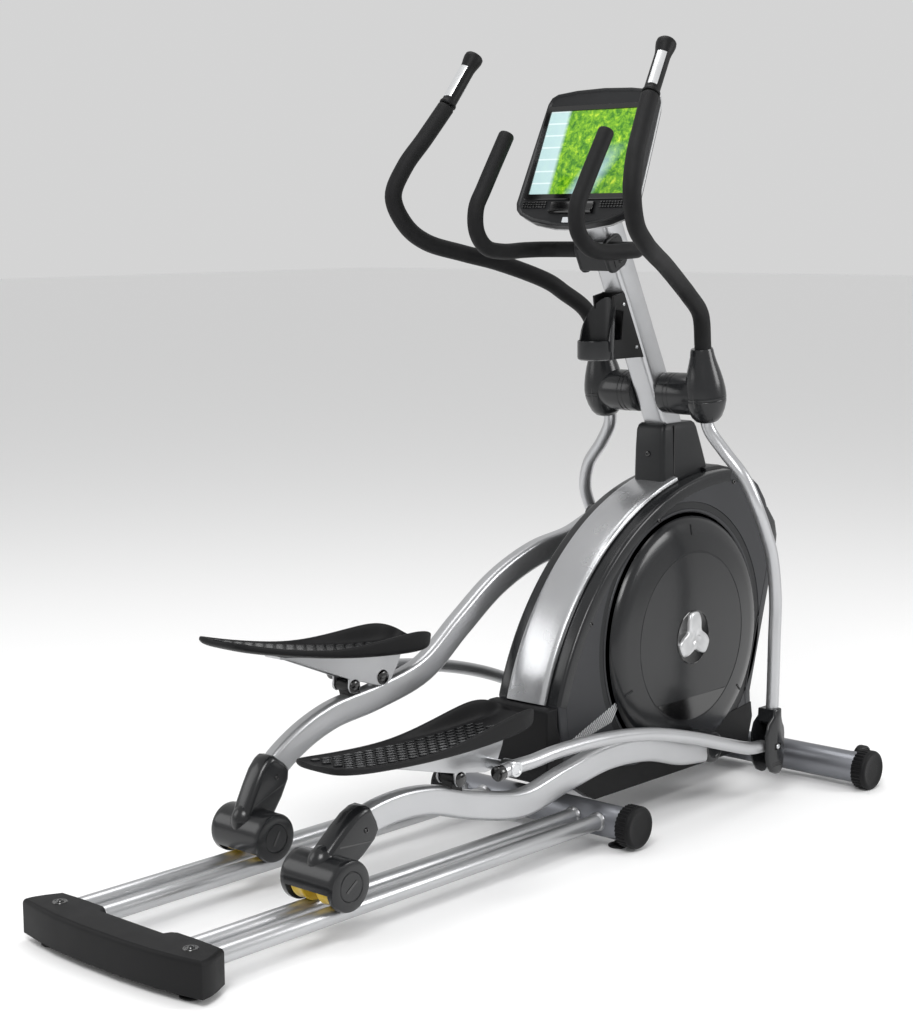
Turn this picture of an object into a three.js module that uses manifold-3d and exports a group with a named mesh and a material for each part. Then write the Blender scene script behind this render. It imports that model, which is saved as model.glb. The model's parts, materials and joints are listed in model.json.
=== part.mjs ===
// Front-drive elliptical trainer. Millimetres, +Z up, +X forward, +Y to the user's left.
// The machine is laid out from the rear edge of its rear cover, then centred on its footprint.
import * as THREE from "three";
import { mergeVertices } from "three/addons/utils/BufferGeometryUtils.js";
import Module from "manifold-3d";

// ---------- driving dimensions ----------
const GAP = 0.3; // clearance between touching pieces
const REAR_MOST = -24; // bowed rear edge of the rear cover
const FLOOR = 0;

const HUB = { x: 1690, z: 397 }; // crank axle
const CRANK_RADIUS = 264; // half of a 528 mm stride
const DISC_RADIUS = 292;
const AXLE_RADIUS = 20;
const CRANK_ARM = { near: 95.5, far: 101, half: 20, reach: 250, endOffset: 8 }; // flat arm inside each disc
const FLYWHEEL = { x: 1430, z: 300, radius: 122, half: 26, axle: 10, pulley: 22 };
const PULLEY = { radius: 128, y0: 44, y1: 60 }; // drive pulley on the crank axle

const RAIL_RADIUS = 18.2;
const RAIL_Z = 59.5;
const RAIL_Y = [135.7, 206.9]; // the two rails under each roller
const TRACK_Y = (RAIL_Y[0] + RAIL_Y[1]) / 2; // plane of a pedal arm

const MID_BAR = { x: 1252, z: 54, radius: 38, half: 262 };
const FRONT_BAR = { x: 2027, z: 48.5, radius: 38, half: 391 };
const CAP_RADIUS = 48.5;
const CAP_LENGTH = 38;
const TRANSPORT = { x: FRONT_BAR.x + 71, y: 352, z: 58, radius: 28, half: 11 }; // wheels for moving it
const REAR_FOOT = { x: 26, y: 208, radius: 24 };
const MID_FOOT = { y: 236, radius: 22 };

const ROLLER_Z = 121; // axle height of the rollers on the rails
const ROLLER_HALF = 76; // half length of a roller cover
const ARM_LENGTH = 1290; // roller axle to crank pin
const ARM_DEPTH = 62;
const ARM_WIDTH = 36;
const LINK_PIVOT = { x: 370, z: 125 }; // pedal link pivot above the arm, in the arm's own frame
const LINK_LENGTH = 1050;
const LINK_PIN = { x: 84, z: 28 }; // cross pin between a pedal bracket and its link rod
const PEDAL = { half: 78, wall: 7 };
const ROD_RADIUS = 15.5;
const ROD_Y = 262; // plane of the link rods and of the lower swing tubes

const SWING_PIVOT = { x: 1690, z: 985 }; // handlebar pivot on the mast
const SWING_END = { x: 1815, z: 128 }; // joint of the link rod and the swing arm
const SWING_Y = 152; // plane of the shrouds
const GRIP_RADIUS = 20;
const LOWER_TUBE_RADIUS = 15.5;
const GRIP_STEPS = 22;
const LOWER_STEPS = 20;

const MAST_LEAN = Math.atan(0.4935); // the mast leans back towards the user
const MAST = { width: 66, depth: 70 };
const CONSOLE = { x: 1428, z: 1550, tilt: THREE.MathUtils.degToRad(23.7), depth: 62 };
const SCREEN = { halfWidth: 137, halfHeight: 97, thickness: 4 };
const HANDLEBAR = { x: 1461, z: 1330, radius: 16, grip: 18.5, half: 60 };
const BOTTLE = { x: 1464, radius: 43, wall: 3.5, bottom: 1074 };

const ARC = { x: 1867, z: 106, sideRadius: 678, bandRadius: 694 }; // rear curve of the housing
const BAND_HALF = 57; // half width of the arc cover between the side covers
const SIDE_FACE = 92; // outer face of a side cover
const SHELL = 3.5; // wall of the plastic shells
const FRONT_MOST = 2136; // nose of the housing

// ---------- finishes ----------
const finish = (color, roughness, metalness) =>
  new THREE.MeshStandardMaterial({ color, roughness, metalness });
const silver = finish(0xb9bbbd, 0.38, 0.7);
const steel = finish(0x8f9193, 0.3, 0.95);
const charcoal = finish(0x3b3c3e, 0.5, 0.1);
const graphite = finish(0x545557, 0.42, 0.35);
const black = finish(0x17181a, 0.55, 0.05);
const foam = finish(0x101012, 0.85, 0);
const yellow = finish(0xd9b21c, 0.45, 0);
const screenGlass = finish(0x0d1210, 0.1, 0);

// ---------- solids ----------
const wasm = await Module();
wasm.setup();

function toSolid(geometry) {
  const bare = geometry.clone();
  bare.deleteAttribute("normal");
  bare.deleteAttribute("uv");
  const merged = mergeVertices(bare, 1e-3);
  const kept = [];
  const index = merged.index.array;
  for (let i = 0; i < index.length; i += 3) {
    const [a, b, c] = [index[i], index[i + 1], index[i + 2]];
    if (a !== b && b !== c && c !== a) kept.push(a, b, c);
  }
  const vertProperties = merged.attributes.position.array;
  return new wasm.Manifold(new wasm.Mesh({ numProp: 3, vertProperties, triVerts: new Uint32Array(kept) }));
}

function toGeometry(solid) {
  const mesh = solid.getMesh();
  const geometry = new THREE.BufferGeometry();
  geometry.setAttribute("position", new THREE.BufferAttribute(mesh.vertProperties, 3));
  geometry.setIndex(new THREE.BufferAttribute(mesh.triVerts, 1));
  geometry.computeVertexNormals();
  return geometry;
}

const join = (first, ...rest) =>
  toGeometry(rest.reduce((solid, piece) => solid.add(toSolid(piece)), toSolid(first)));
const cut = (base, ...tools) =>
  toGeometry(tools.reduce((solid, tool) => solid.subtract(toSolid(tool)), toSolid(base)));
const common = (first, second) => toGeometry(toSolid(first).intersect(toSolid(second)));

function box(x0, x1, y0, y1, z0, z1) {
  const geometry = new THREE.BoxGeometry(x1 - x0, y1 - y0, z1 - z0);
  return geometry.translate((x0 + x1) / 2, (y0 + y1) / 2, (z0 + z1) / 2);
}

// A cylinder along Y, centred on (x, z).
function discY(x, z, radius, y0, y1, sides = 28) {
  return new THREE.CylinderGeometry(radius, radius, y1 - y0, sides).translate(x, (y0 + y1) / 2, z);
}

// A cylinder between two points.
function bar(from, to, radius, sides = 16) {
  const [a, b] = [new THREE.Vector3(...from), new THREE.Vector3(...to)];
  const along = b.clone().sub(a);
  const geometry = new THREE.CylinderGeometry(radius, radius, along.length(), sides);
  const turn = new THREE.Quaternion().setFromUnitVectors(new THREE.Vector3(0, 1, 0), along.normalize());
  return geometry.applyQuaternion(turn).translate(...a.add(b).multiplyScalar(0.5).toArray());
}

// A solid turned about the Y axis from [radius, height] pairs that close on themselves or on the axis.
function turned(profile, sides = 32) {
  const points = profile.map(([radius, height]) => new THREE.Vector2(radius, height));
  return new THREE.LatheGeometry(points, sides);
}

function outline(points) {
  return new THREE.Shape(points.map(([x, y]) => new THREE.Vector2(x, y)));
}

function circlePoints(radius, sides) {
  return Array.from({ length: sides }, (_, i) => {
    const angle = (2 * Math.PI * i) / sides;
    return [radius * Math.cos(angle), radius * Math.sin(angle)];
  });
}

// A side view in (x, z) extruded from y0 to y1, with bevelled edges where bevel isn't zero.
function sideView(points, y0, y1, bevel = 0) {
  const settings = { depth: y1 - y0 - 2 * bevel, bevelEnabled: bevel > 0, bevelSegments: 1 };
  Object.assign(settings, { bevelSize: bevel, bevelThickness: bevel, bevelOffset: -bevel });
  const geometry = new THREE.ExtrudeGeometry(outline(points), settings);
  return geometry.rotateX(Math.PI / 2).translate(0, y1 - bevel, 0);
}

// A round tube along a smooth path.
function tube(points, radius, steps = 18, sides = 8) {
  const path = new THREE.CatmullRomCurve3(points.map((p) => new THREE.Vector3(...p)), false, "centripetal");
  return new THREE.ExtrudeGeometry(outline(circlePoints(radius, sides)), { extrudePath: path, steps });
}

// The same outline, moved outwards by a distance (inwards when it is negative).
function offset(points, distance) {
  const corners = points.map(([x, y]) => new THREE.Vector2(x, y));
  const turn = Math.sign(THREE.ShapeUtils.area(corners));
  return corners.map((corner, i) => {
    const before = corner.clone().sub(corners.at(i - 1)).normalize();
    const after = corners[(i + 1) % corners.length].clone().sub(corner).normalize();
    const normals = [before, after].map((edge) => new THREE.Vector2(edge.y * turn, -edge.x * turn));
    const middle = normals[0].clone().add(normals[1]).normalize();
    const moved = corner.clone().addScaledVector(middle, distance / middle.dot(normals[0]));
    return [moved.x, moved.y];
  });
}

function arcPoints(x, z, radius, from, to, steps) {
  return Array.from({ length: steps + 1 }, (_, i) => {
    const angle = THREE.MathUtils.degToRad(from + ((to - from) * i) / steps);
    return [x + radius * Math.cos(angle), z + radius * Math.sin(angle)];
  });
}

// ---------- assembly helpers ----------
const machine = new THREE.Group();

function place(name, geometry, material, parent = machine) {
  const mesh = new THREE.Mesh(geometry, material);
  mesh.name = name;
  parent.add(mesh);
  return mesh;
}

const SIDES = [
  { name: "right", sign: -1 },
  { name: "left", sign: 1 },
];
const mirrored = (sign, points) => points.map(([x, y, z]) => [x, sign * y, z]);
const spanY = (sign, near, far) => (sign > 0 ? [near, far] : [-far, -near]);

// ---------- base: beam, cross tubes, rails, feet ----------
function baseFrame() {
  const beam = box(MID_BAR.x + 30, FRONT_BAR.x - 30, -30, 30, 32, 90);
  const post = box(HUB.x - 30, HUB.x + 30, -22, 22, 80, HUB.z);
  const bearing = discY(HUB.x, HUB.z, 38, -32, 32);
  const forks = [-38, 32].map((y) => box(FLYWHEEL.x - 18, FLYWHEEL.x + 18, y, y + 6, 40, FLYWHEEL.z + 18));
  const spacers = box(FLYWHEEL.x - 18, FLYWHEEL.x + 18, -38, 38, 60, 90);
  const frame = join(beam, post, bearing, spacers, ...forks);
  return cut(
    frame,
    discY(HUB.x, HUB.z, AXLE_RADIUS + GAP, -60, 60),
    discY(FLYWHEEL.x, FLYWHEEL.z, FLYWHEEL.axle + GAP, -60, 60, 16),
    discY(MID_BAR.x, MID_BAR.z, MID_BAR.radius + GAP, -60, 60, 40),
    discY(FRONT_BAR.x, FRONT_BAR.z, FRONT_BAR.radius + GAP, -60, 60, 40),
  );
}

function frontStabiliser() {
  const { x, z, radius, half } = FRONT_BAR;
  const pieces = [discY(x, z, radius, -half, half, 32)];
  for (const { sign } of SIDES) {
    const wheelY = sign * TRANSPORT.y;
    for (const cheek of [-1, 1]) {
      const y = wheelY + cheek * (TRANSPORT.half + 3.5);
      const arm = [[x, 36], [TRANSPORT.x + 8, 50], [TRANSPORT.x + 8, 66], [x, 80]];
      pieces.push(sideView(arm, y - 2.5, y + 2.5));
    }
    const reach = TRANSPORT.half + 6;
    pieces.push(discY(TRANSPORT.x, TRANSPORT.z, 6, wheelY - reach, wheelY + reach, 16));
  }
  return join(...pieces);
}

function endCap(x, z, sign, start) {
  const sides = 36;
  const cap = new THREE.CylinderGeometry(CAP_RADIUS, CAP_RADIUS, CAP_LENGTH - GAP, sides);
  return cap.translate(x, sign * (start + (CAP_LENGTH + GAP) / 2), z);
}

function railFrame() {
  const pieces = [box(22, 52, -236, 236, 42, 79)];
  for (const { sign } of SIDES) {
    for (const y of RAIL_Y.map((value) => sign * value)) {
      pieces.push(bar([30, y, RAIL_Z], [MID_BAR.x, y, RAIL_Z], RAIL_RADIUS, 16));
    }
  }
  const welded = join(...pieces);
  return cut(welded, discY(MID_BAR.x, MID_BAR.z, MID_BAR.radius + GAP, -MID_BAR.half, MID_BAR.half, 40));
}

const REAR_COVER_PLAN = [
  [REAR_MOST, -90], [-17, -180], [0, -269], [44, -256], [78, -238], [80, -106], [58, -92],
  [58, 92], [80, 106], [78, 238], [44, 256], [0, 269], [-17, 180], [REAR_MOST, 90],
];

function rearCover() {
  const wall = 4;
  const top = 86;
  const upright = (points, z0, z1) =>
    new THREE.ExtrudeGeometry(outline(points), { depth: z1 - z0, bevelEnabled: false }).translate(0, 0, z0);
  const hollow = upright(offset(REAR_COVER_PLAN, -wall), 13, top - wall);
  const shell = cut(upright(REAR_COVER_PLAN, 14, top), hollow);
  const holes = SIDES.flatMap(({ sign }) =>
    RAIL_Y.map((y) => bar([30, sign * y, RAIL_Z], [120, sign * y, RAIL_Z], RAIL_RADIUS + 2 * GAP, 16)),
  );
  return cut(shell, ...holes);
}

function levellingFoot(radius, stemTop) {
  const profile = [[0, 0], [radius, 0], [radius, 5], [radius * 0.6, 8], [6, 9], [6, stemTop], [0, stemTop]];
  return turned(profile, 16).rotateX(Math.PI / 2);
}

function transportWheel() {
  const { radius, half } = TRANSPORT;
  const edge = radius - 3;
  const tyre = [[0, -half], [edge, -half], [radius, 3 - half], [radius, half - 3], [edge, half], [0, half]];
  return cut(turned(tyre, 16), discY(0, 0, 6 + GAP, -half - 1, half + 1, 16));
}

place("base_frame", baseFrame(), silver);
place("front_stabiliser", frontStabiliser(), graphite);
const midBar = discY(MID_BAR.x, MID_BAR.z, MID_BAR.radius, -MID_BAR.half, MID_BAR.half, 32);
place("mid_crossbar", midBar, graphite);
place("rail_frame", railFrame(), silver);
place("rear_cover", rearCover(), charcoal);
for (const { name, sign } of SIDES) {
  place(`front_cap_${name}`, endCap(FRONT_BAR.x, FRONT_BAR.z, sign, FRONT_BAR.half), black);
  place(`mid_cap_${name}`, endCap(MID_BAR.x, MID_BAR.z, sign, MID_BAR.half), black);
  const rearStem = RAIL_Z - RAIL_RADIUS - 2 * GAP;
  const rearFoot = place(`rear_foot_${name}`, levellingFoot(REAR_FOOT.radius, rearStem), black);
  rearFoot.position.set(REAR_FOOT.x, sign * REAR_FOOT.y, FLOOR);
  const midStem = MID_BAR.z - MID_BAR.radius - GAP;
  const midFoot = place(`mid_foot_${name}`, levellingFoot(MID_FOOT.radius, midStem), black);
  midFoot.position.set(MID_BAR.x, sign * MID_FOOT.y, FLOOR);
  const wheel = place(`transport_wheel_${name}`, transportWheel(), black);
  wheel.position.set(TRANSPORT.x, sign * TRANSPORT.y, TRANSPORT.z);
}

// ---------- mast, console and fixed handlebar ----------
const mastX = (z) => SWING_PIVOT.x - (z - SWING_PIVOT.z) * Math.tan(MAST_LEAN);

// A rounded rectangular tube from one height to another along a leaning line.
function leaningPost(from, to, extra = 0) {
  const [w, d] = [MAST.width / 2 + extra, MAST.depth / 2 + extra];
  const c = 10;
  const rear = [[-d + c, w], [-d, w - c], [-d, -w + c], [-d + c, -w]];
  const section = [...rear, [d - c, -w], [d, -w + c], [d, w - c], [d - c, w]];
  const length = Math.hypot(to.x - from.x, to.z - from.z);
  const lean = Math.atan2(from.x - to.x, to.z - from.z);
  return new THREE.ExtrudeGeometry(outline(section), { depth: length, bevelEnabled: false })
    .rotateY(-lean)
    .translate(from.x, 0, from.z);
}

const mastLine = (from, to, extra) =>
  leaningPost({ x: mastX(from), z: from }, { x: mastX(to), z: to }, extra);

const FACE = [
  [-171, -128], [-160, -150], [-110, -170], [-50, -179], [50, -179], [110, -170], [160, -150], [171, -128],
  [158, 132], [146, 146], [80, 154], [-80, 154], [-146, 146], [-158, 132],
];

// The console's face outline extruded backwards, in the console's own frame.
function consoleSlab(points, front, back) {
  const geometry = new THREE.ExtrudeGeometry(outline(points), { depth: back - front, bevelEnabled: false });
  const axes = new THREE.Matrix4().makeBasis(
    new THREE.Vector3(0, 1, 0), new THREE.Vector3(0, 0, 1), new THREE.Vector3(1, 0, 0),
  );
  return geometry.applyMatrix4(axes).translate(front, 0, 0);
}

function inConsoleFrame(geometry) {
  return geometry.rotateY(CONSOLE.tilt).translate(CONSOLE.x, 0, CONSOLE.z);
}

function mast() {
  const bendZ = 870;
  const lower = leaningPost({ x: 1886, z: 60 }, { x: mastX(bendZ) - 4, z: bendZ + 20 });
  const upper = mastLine(bendZ, 1560);
  const pivotShaft = discY(SWING_PIVOT.x, SWING_PIVOT.z, 16, -SWING_Y, SWING_Y, 24);
  const behindConsole = inConsoleFrame(box(-160, CONSOLE.depth + GAP, -220, 220, -260, 260));
  return cut(join(lower, upper, pivotShaft), box(1700, 2000, -60, 60, 0, 90 + GAP), behindConsole);
}

function consoleHousing() {
  const recess = 2 * GAP + SCREEN.thickness;
  const { halfWidth, halfHeight } = SCREEN;
  const screenBed = box(-1, recess, -halfWidth - GAP, halfWidth + GAP, -halfHeight - GAP, halfHeight + GAP);
  const trayBed = box(-1, 9, -95, 95, -142, -118);
  const slab = join(consoleSlab(FACE, 0, 40), consoleSlab(offset(FACE, -16), 39, CONSOLE.depth));
  return cut(slab, screenBed, trayBed);
}

function handlebarClamp() {
  const plate = [[-50, -52], [-34, -60], [10, -60], [26, -48], [26, 40], [4, 58], [-34, 58], [-50, 44]];
  const block = sideView(plate, -45, 45, 4).rotateY(-MAST_LEAN);
  return cut(
    block.translate(mastX(HANDLEBAR.z) - 22, 0, HANDLEBAR.z),
    mastLine(HANDLEBAR.z - 150, HANDLEBAR.z + 150, GAP),
    discY(HANDLEBAR.x, HANDLEBAR.z, HANDLEBAR.radius + GAP, -60, 60, 24),
  );
}

function fixedGrip(sign) {
  const path = [
    [1461, 62, 1330], [1461, 84, 1330], [1456, 112, 1330], [1432, 142, 1330], [1385, 153, 1329],
    [1310, 153, 1327], [1250, 151, 1338], [1215, 148, 1375], [1213, 147, 1425], [1240, 146, 1472],
    [1319, 145, 1594],
  ];
  return tube(mirrored(sign, path), HANDLEBAR.grip, 20);
}

function bottleHolder() {
  const { x, radius, wall, bottom } = BOTTLE;
  const ring = (z0, z1) =>
    cut(bar([x, 0, z0], [x, 0, z1], radius, 20), bar([x, 0, z0 - 1], [x, 0, z1 + 1], radius - wall, 20));
  const cup = cut(
    bar([x, 0, bottom], [x, 0, bottom + 46], radius, 20),
    bar([x, 0, bottom + 5], [x, 0, bottom + 60], radius - wall, 20),
  );
  const cheek = [
    [x + 20, bottom], [mastX(bottom) - 20, bottom], [mastX(bottom + 156) - 20, bottom + 156],
    [x + 20, bottom + 150], [x + 24, bottom + 112], [mastX(bottom + 112) - 62, bottom + 112],
    [x + 62, bottom + 46], [x + 24, bottom + 46],
  ];
  const back = sideView(
    [[mastX(bottom) - 46, bottom], [mastX(bottom), bottom], [mastX(bottom + 156), bottom + 156],
      [mastX(bottom + 156) - 46, bottom + 156]], -30, 30,
  );
  const cheeks = [sideView(cheek, -30, -26), sideView(cheek, 26, 30)];
  const body = join(cup, ring(bottom + 114, bottom + 140), back, ...cheeks);
  const bottleRoom = bar([x, 0, bottom + 5], [x, 0, bottom + 200], radius - wall, 20);
  return cut(body, bottleRoom, mastLine(bottom - 60, bottom + 260, GAP));
}

place("mast", mast(), silver);
const head = new THREE.Group();
head.position.set(CONSOLE.x, 0, CONSOLE.z);
head.rotation.y = CONSOLE.tilt;
machine.add(head);
place("console_housing", consoleHousing(), charcoal, head);
const { halfWidth, halfHeight, thickness } = SCREEN;
const screen = box(GAP, GAP + thickness, -halfWidth, halfWidth, -halfHeight, halfHeight);
place("console_screen", screen, screenGlass, head);
const crossbar = discY(HANDLEBAR.x, HANDLEBAR.z, HANDLEBAR.radius, -HANDLEBAR.half, HANDLEBAR.half, 20);
place("handlebar_crossbar", crossbar, steel);
place("handlebar_clamp", handlebarClamp(), charcoal);
for (const { name, sign } of SIDES) place(`fixed_grip_${name}`, fixedGrip(sign), foam);
place("bottle_holder", bottleHolder(), black);

// ---------- housing ----------
const sideOutline = () => [
  ...arcPoints(ARC.x, ARC.z, ARC.sideRadius, 163.2, 88, 18),
  [1990, 764], [2078, 694], [2122, 600], [2122, 548], [1984, 206], [1990, 141], [1966, 64], [1349, 61],
  [1256, 118], [1236, 150],
];

function sideCover(sign) {
  const solid = sideView(sideOutline(), ...spanY(sign, BAND_HALF + GAP, SIDE_FACE), 0);
  const pocket = sideView(offset(sideOutline(), -SHELL), ...spanY(sign, BAND_HALF - 1, SIDE_FACE - SHELL));
  const lip = discY(HUB.x, HUB.z, DISC_RADIUS + 12, ...spanY(sign, BAND_HALF + 9, SIDE_FACE - 1), 40);
  const opening = discY(HUB.x, HUB.z, DISC_RADIUS + 8, ...spanY(sign, BAND_HALF - 2, SIDE_FACE + 2), 40);
  return cut(join(cut(solid, pocket), lip), opening);
}

function bandSector(inner, outer, from, to, half) {
  const steps = 20;
  const back = arcPoints(ARC.x, ARC.z, inner, to, from, steps);
  return sideView([...arcPoints(ARC.x, ARC.z, outer, from, to, steps), ...back], -half, half);
}

function arcCover() {
  const { sideRadius, bandRadius } = ARC;
  const band = bandSector(sideRadius + 2, bandRadius, 168, 103, BAND_HALF);
  const hollow = bandSector(sideRadius - 6, bandRadius - SHELL, 170, 101, BAND_HALF - SHELL);
  return cut(band, hollow, box(1100, 1400, -80, 80, 0, 302.5));
}

function frontCover() {
  const outer = sideView(offset(sideOutline(), 14), -BAND_HALF, BAND_HALF, 0);
  const inner = sideView(offset(sideOutline(), 10), -BAND_HALF - 1, BAND_HALF + 1);
  return common(cut(outer, inner), box(1806, 2300, -80, 80, 110, 900));
}

function baseCover() {
  const profile = [[1180, 302], [1176, 290], [1176, 160], [1204, 118], [1228, 112], [1228, 302]];
  const body = sideView(profile, -SIDE_FACE, SIDE_FACE, 0);
  const inside = sideView([[1181, 297], [1181, 163], [1206, 123], [1240, 117], [1240, 297]], -88, 88);
  return cut(body, inside, sideView(offset(sideOutline(), 2 * GAP), -SIDE_FACE - 1, SIDE_FACE + 1));
}

function neckCover() {
  const profile = [[1672, 760], [1672, 892], [1684, 906], [1790, 926], [1812, 912], [1856, 790], [1856, 760]];
  const block = sideView(profile, -43, 43, 5);
  return cut(
    block,
    discY(ARC.x, ARC.z, ARC.bandRadius + 2 * GAP, -60, 60, 160),
    sideView(offset(sideOutline(), 14 + GAP), -60, 60),
    mastLine(700, 1000, GAP),
    leaningPost({ x: 1886, z: 60 }, { x: mastX(870) - 4, z: 890 }, GAP),
  );
}

place("rear_arc_cover", arcCover(), silver);
place("front_cover", frontCover(), charcoal);
place("base_cover", baseCover(), black);
place("neck_cover", neckCover(), charcoal);
for (const { name, sign } of SIDES) place(`side_cover_${name}`, sideCover(sign), graphite);

// ---------- crank, pulley, belt and flywheel ----------
function crankAxle() {
  const { near, far, half, reach, endOffset } = CRANK_ARM;
  const pieces = [discY(0, 0, AXLE_RADIUS, -110, 110, 24)];
  for (const { sign } of SIDES) {
    const [y0, y1] = spanY(sign, near, far);
    pieces.push(box(-half, half, y0, y1, ...spanY(sign, 0, reach)));
    pieces.push(discY(0, sign * (CRANK_RADIUS - endOffset), half, y0, y1, 20));
  }
  return join(...pieces);
}

function crankDisc(sign) {
  const profile = [[0, 124], [200, 121], [272, 113], [DISC_RADIUS, 96]];
  const inner = [[DISC_RADIUS - 4, 94], [270, 108], [200, 115], [0, 117]];
  const dish = turned([...profile, [DISC_RADIUS, 94], ...inner].reverse(), 32);
  return sign > 0 ? dish : dish.rotateX(Math.PI);
}

function drivePulley() {
  const { radius, y0, y1 } = PULLEY;
  return cut(discY(0, 0, radius, y0, y1, 40), discY(0, 0, AXLE_RADIUS + GAP, y0 - 1, y1 + 1, 24));
}

function flywheel() {
  const { radius, half, axle, pulley } = FLYWHEEL;
  return turned([
    [0, -44], [axle, -44], [axle, -12], [90, -12], [90, -half], [radius, -half],
    [radius, half], [90, half], [90, 12], [axle, 12], [axle, PULLEY.y0],
    [pulley, PULLEY.y0], [pulley, PULLEY.y1], [0, PULLEY.y1],
  ], 24);
}

// The loop round two pulleys, grown by a distance.
function beltLoop(grow) {
  const [dx, dz] = [FLYWHEEL.x - HUB.x, FLYWHEEL.z - HUB.z];
  const [large, small] = [PULLEY.radius + grow, FLYWHEEL.pulley + grow];
  const heading = THREE.MathUtils.radToDeg(Math.atan2(dz, dx));
  const wrap = THREE.MathUtils.radToDeg(Math.acos((large - small) / Math.hypot(dx, dz)));
  return [
    ...arcPoints(HUB.x, HUB.z, large, heading + wrap, heading + 360 - wrap, 28),
    ...arcPoints(FLYWHEEL.x, FLYWHEEL.z, small, heading - wrap, heading + wrap, 10),
  ];
}

function driveBelt() {
  const [y0, y1] = [PULLEY.y0 + 2, PULLEY.y1 - 2];
  return cut(sideView(beltLoop(4.4), y0, y1), sideView(beltLoop(0.4), y0 - 1, y1 + 1));
}

const crank = new THREE.Group();
crank.position.set(HUB.x, 0, HUB.z);
machine.add(crank);
place("crank_axle", crankAxle(), steel, crank);
place("drive_pulley", drivePulley(), black, crank);
for (const { name, sign } of SIDES) place(`crank_disc_${name}`, crankDisc(sign), charcoal, crank);
place("flywheel", flywheel(), steel).position.set(FLYWHEEL.x, 0, FLYWHEEL.z);
place("drive_belt", driveBelt(), black);

// ---------- pedal arms, rollers, pedal links ----------
const ARM_CENTRELINE = [
  [58, 62], [105, 88], [197, 101], [300, 92], [430, 52], [590, 19], [740, 42], [890, 61], [1040, 49],
  [1170, 12], [1262, 0],
];

// The side view of an arm: its centreline thickened to both sides.
function armOutline(depth, steps = 20) {
  const curve = new THREE.SplineCurve(ARM_CENTRELINE.map(([x, z]) => new THREE.Vector2(x, z)));
  const edge = (half) =>
    Array.from({ length: steps + 1 }, (_, i) => {
      const point = curve.getPoint(i / steps);
      const along = curve.getTangent(i / steps);
      return [point.x - along.y * half, point.y + along.x * half];
    });
  return [...edge(-depth / 2), ...edge(depth / 2).reverse()];
}

function pedalArm(sign) {
  const [y0, y1] = spanY(sign, TRACK_Y - ARM_WIDTH / 2, TRACK_Y + ARM_WIDTH / 2);
  const beam = sideView(armOutline(ARM_DEPTH), y0, y1, 7);
  const [j0, j1] = spanY(sign, 127, TRACK_Y + ARM_WIDTH / 2 + 1);
  const joint = discY(ARM_LENGTH, 0, 37, j0, j1, 28);
  const { x, z } = LINK_PIVOT;
  const lug = [[x - 16, z - 50], [x + 20, z - 60], [x + 13, z], [x - 13, z]];
  const [l0, l1] = spanY(sign, TRACK_Y - 20, TRACK_Y + 20);
  const [n0, n1] = spanY(sign, TRACK_Y - 15, TRACK_Y + 15);
  const arm = join(beam, joint, sideView(lug, n0, n1), discY(x, z, 14, l0, l1, 20));
  return cut(arm, discY(x, z, 7 + GAP, l0 - 1, l1 + 1, 16));
}

function rollerCover(sign) {
  const near = TRACK_Y - ROLLER_HALF;
  const far = TRACK_Y + ROLLER_HALF;
  const socketShape = [
    [-30, 38], [-6, 84], [52, 132], [84, 142], [132, 140], [142, 118], [132, 70], [96, 34], [46, 0], [0, 0],
  ];
  const drum = discY(0, 0, 52, ...spanY(sign, near, far), 28);
  const socket = sideView(socketShape, ...spanY(sign, TRACK_Y - 27, TRACK_Y + 27), 6);
  const hollow = discY(0, 0, 48.5, ...spanY(sign, near + 6, far - 6), 28);
  const underside = box(-60, 60, ...spanY(sign, RAIL_Y[0] - 22, RAIL_Y[1] + 22), -70, -24);
  const half = ARM_WIDTH / 2 + GAP;
  const armRoom = sideView(armOutline(ARM_DEPTH + 4 * GAP), ...spanY(sign, TRACK_Y - half, TRACK_Y + half));
  const axleHole = discY(0, 0, 9 + GAP, ...spanY(sign, near - 1, far + 1), 16);
  return cut(join(drum, socket), hollow, underside, armRoom, axleHole);
}

// Two grooved wheels on one sleeve, seen from their axle's middle.
function rollerWheels() {
  const groove = [[-16, 46], [-12, 46], [0, 42.6], [12, 46], [16, 46]];
  const half = (RAIL_Y[1] - RAIL_Y[0]) / 2;
  const points = [[9 + GAP, -half - 17], [18, -half - 17], [18, -half - 16]];
  for (const y of [-half, half]) {
    for (const [dy, radius] of groove) points.push([radius, y + dy]);
    if (y < 0) points.push([18, y + 16.5], [18, -y - 16.5]);
  }
  points.push([18, half + 16], [18, half + 17], [9 + GAP, half + 17], [9 + GAP, -half - 17]);
  return turned(points, 16);
}

const PEDAL_BOTTOM = [[-398, 64], [-330, 46], [-200, 50], [-60, 62], [60, 78], [150, 97], [186, 114]];
const PEDAL_RIM = [
  [192, 126], [174, 140], [110, 144], [30, 134], [-60, 114], [-150, 88], [-250, 66], [-330, 60], [-400, 72],
];
const PEDAL_FLOOR = [[-380, 70], [-330, 54], [-200, 58], [-60, 70], [60, 86], [150, 105], [176, 118]];

function pedal(sign) {
  const near = TRACK_Y - PEDAL.half;
  const far = TRACK_Y + PEDAL.half;
  const body = sideView([...PEDAL_BOTTOM, ...PEDAL_RIM], ...spanY(sign, near, far));
  const plan = [
    [-402, -44], [-388, -60], [-300, -74], [-120, -78], [100, -78], [160, -68], [194, -38],
    [194, 38], [160, 68], [100, 78], [-120, 78], [-300, 74], [-388, 60], [-402, 44],
  ];
  const upright = (points) => {
    const block = new THREE.ExtrudeGeometry(outline(points), { depth: 200, bevelEnabled: false });
    return block.translate(0, sign * TRACK_Y, 0);
  };
  const shaped = common(body, upright(plan));
  const bed = common(
    sideView([...PEDAL_FLOOR, [176, 200], [-380, 200]], ...spanY(sign, near, far)),
    upright(offset(plan, -PEDAL.wall)),
  );
  return cut(shaped, bed);
}

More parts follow.
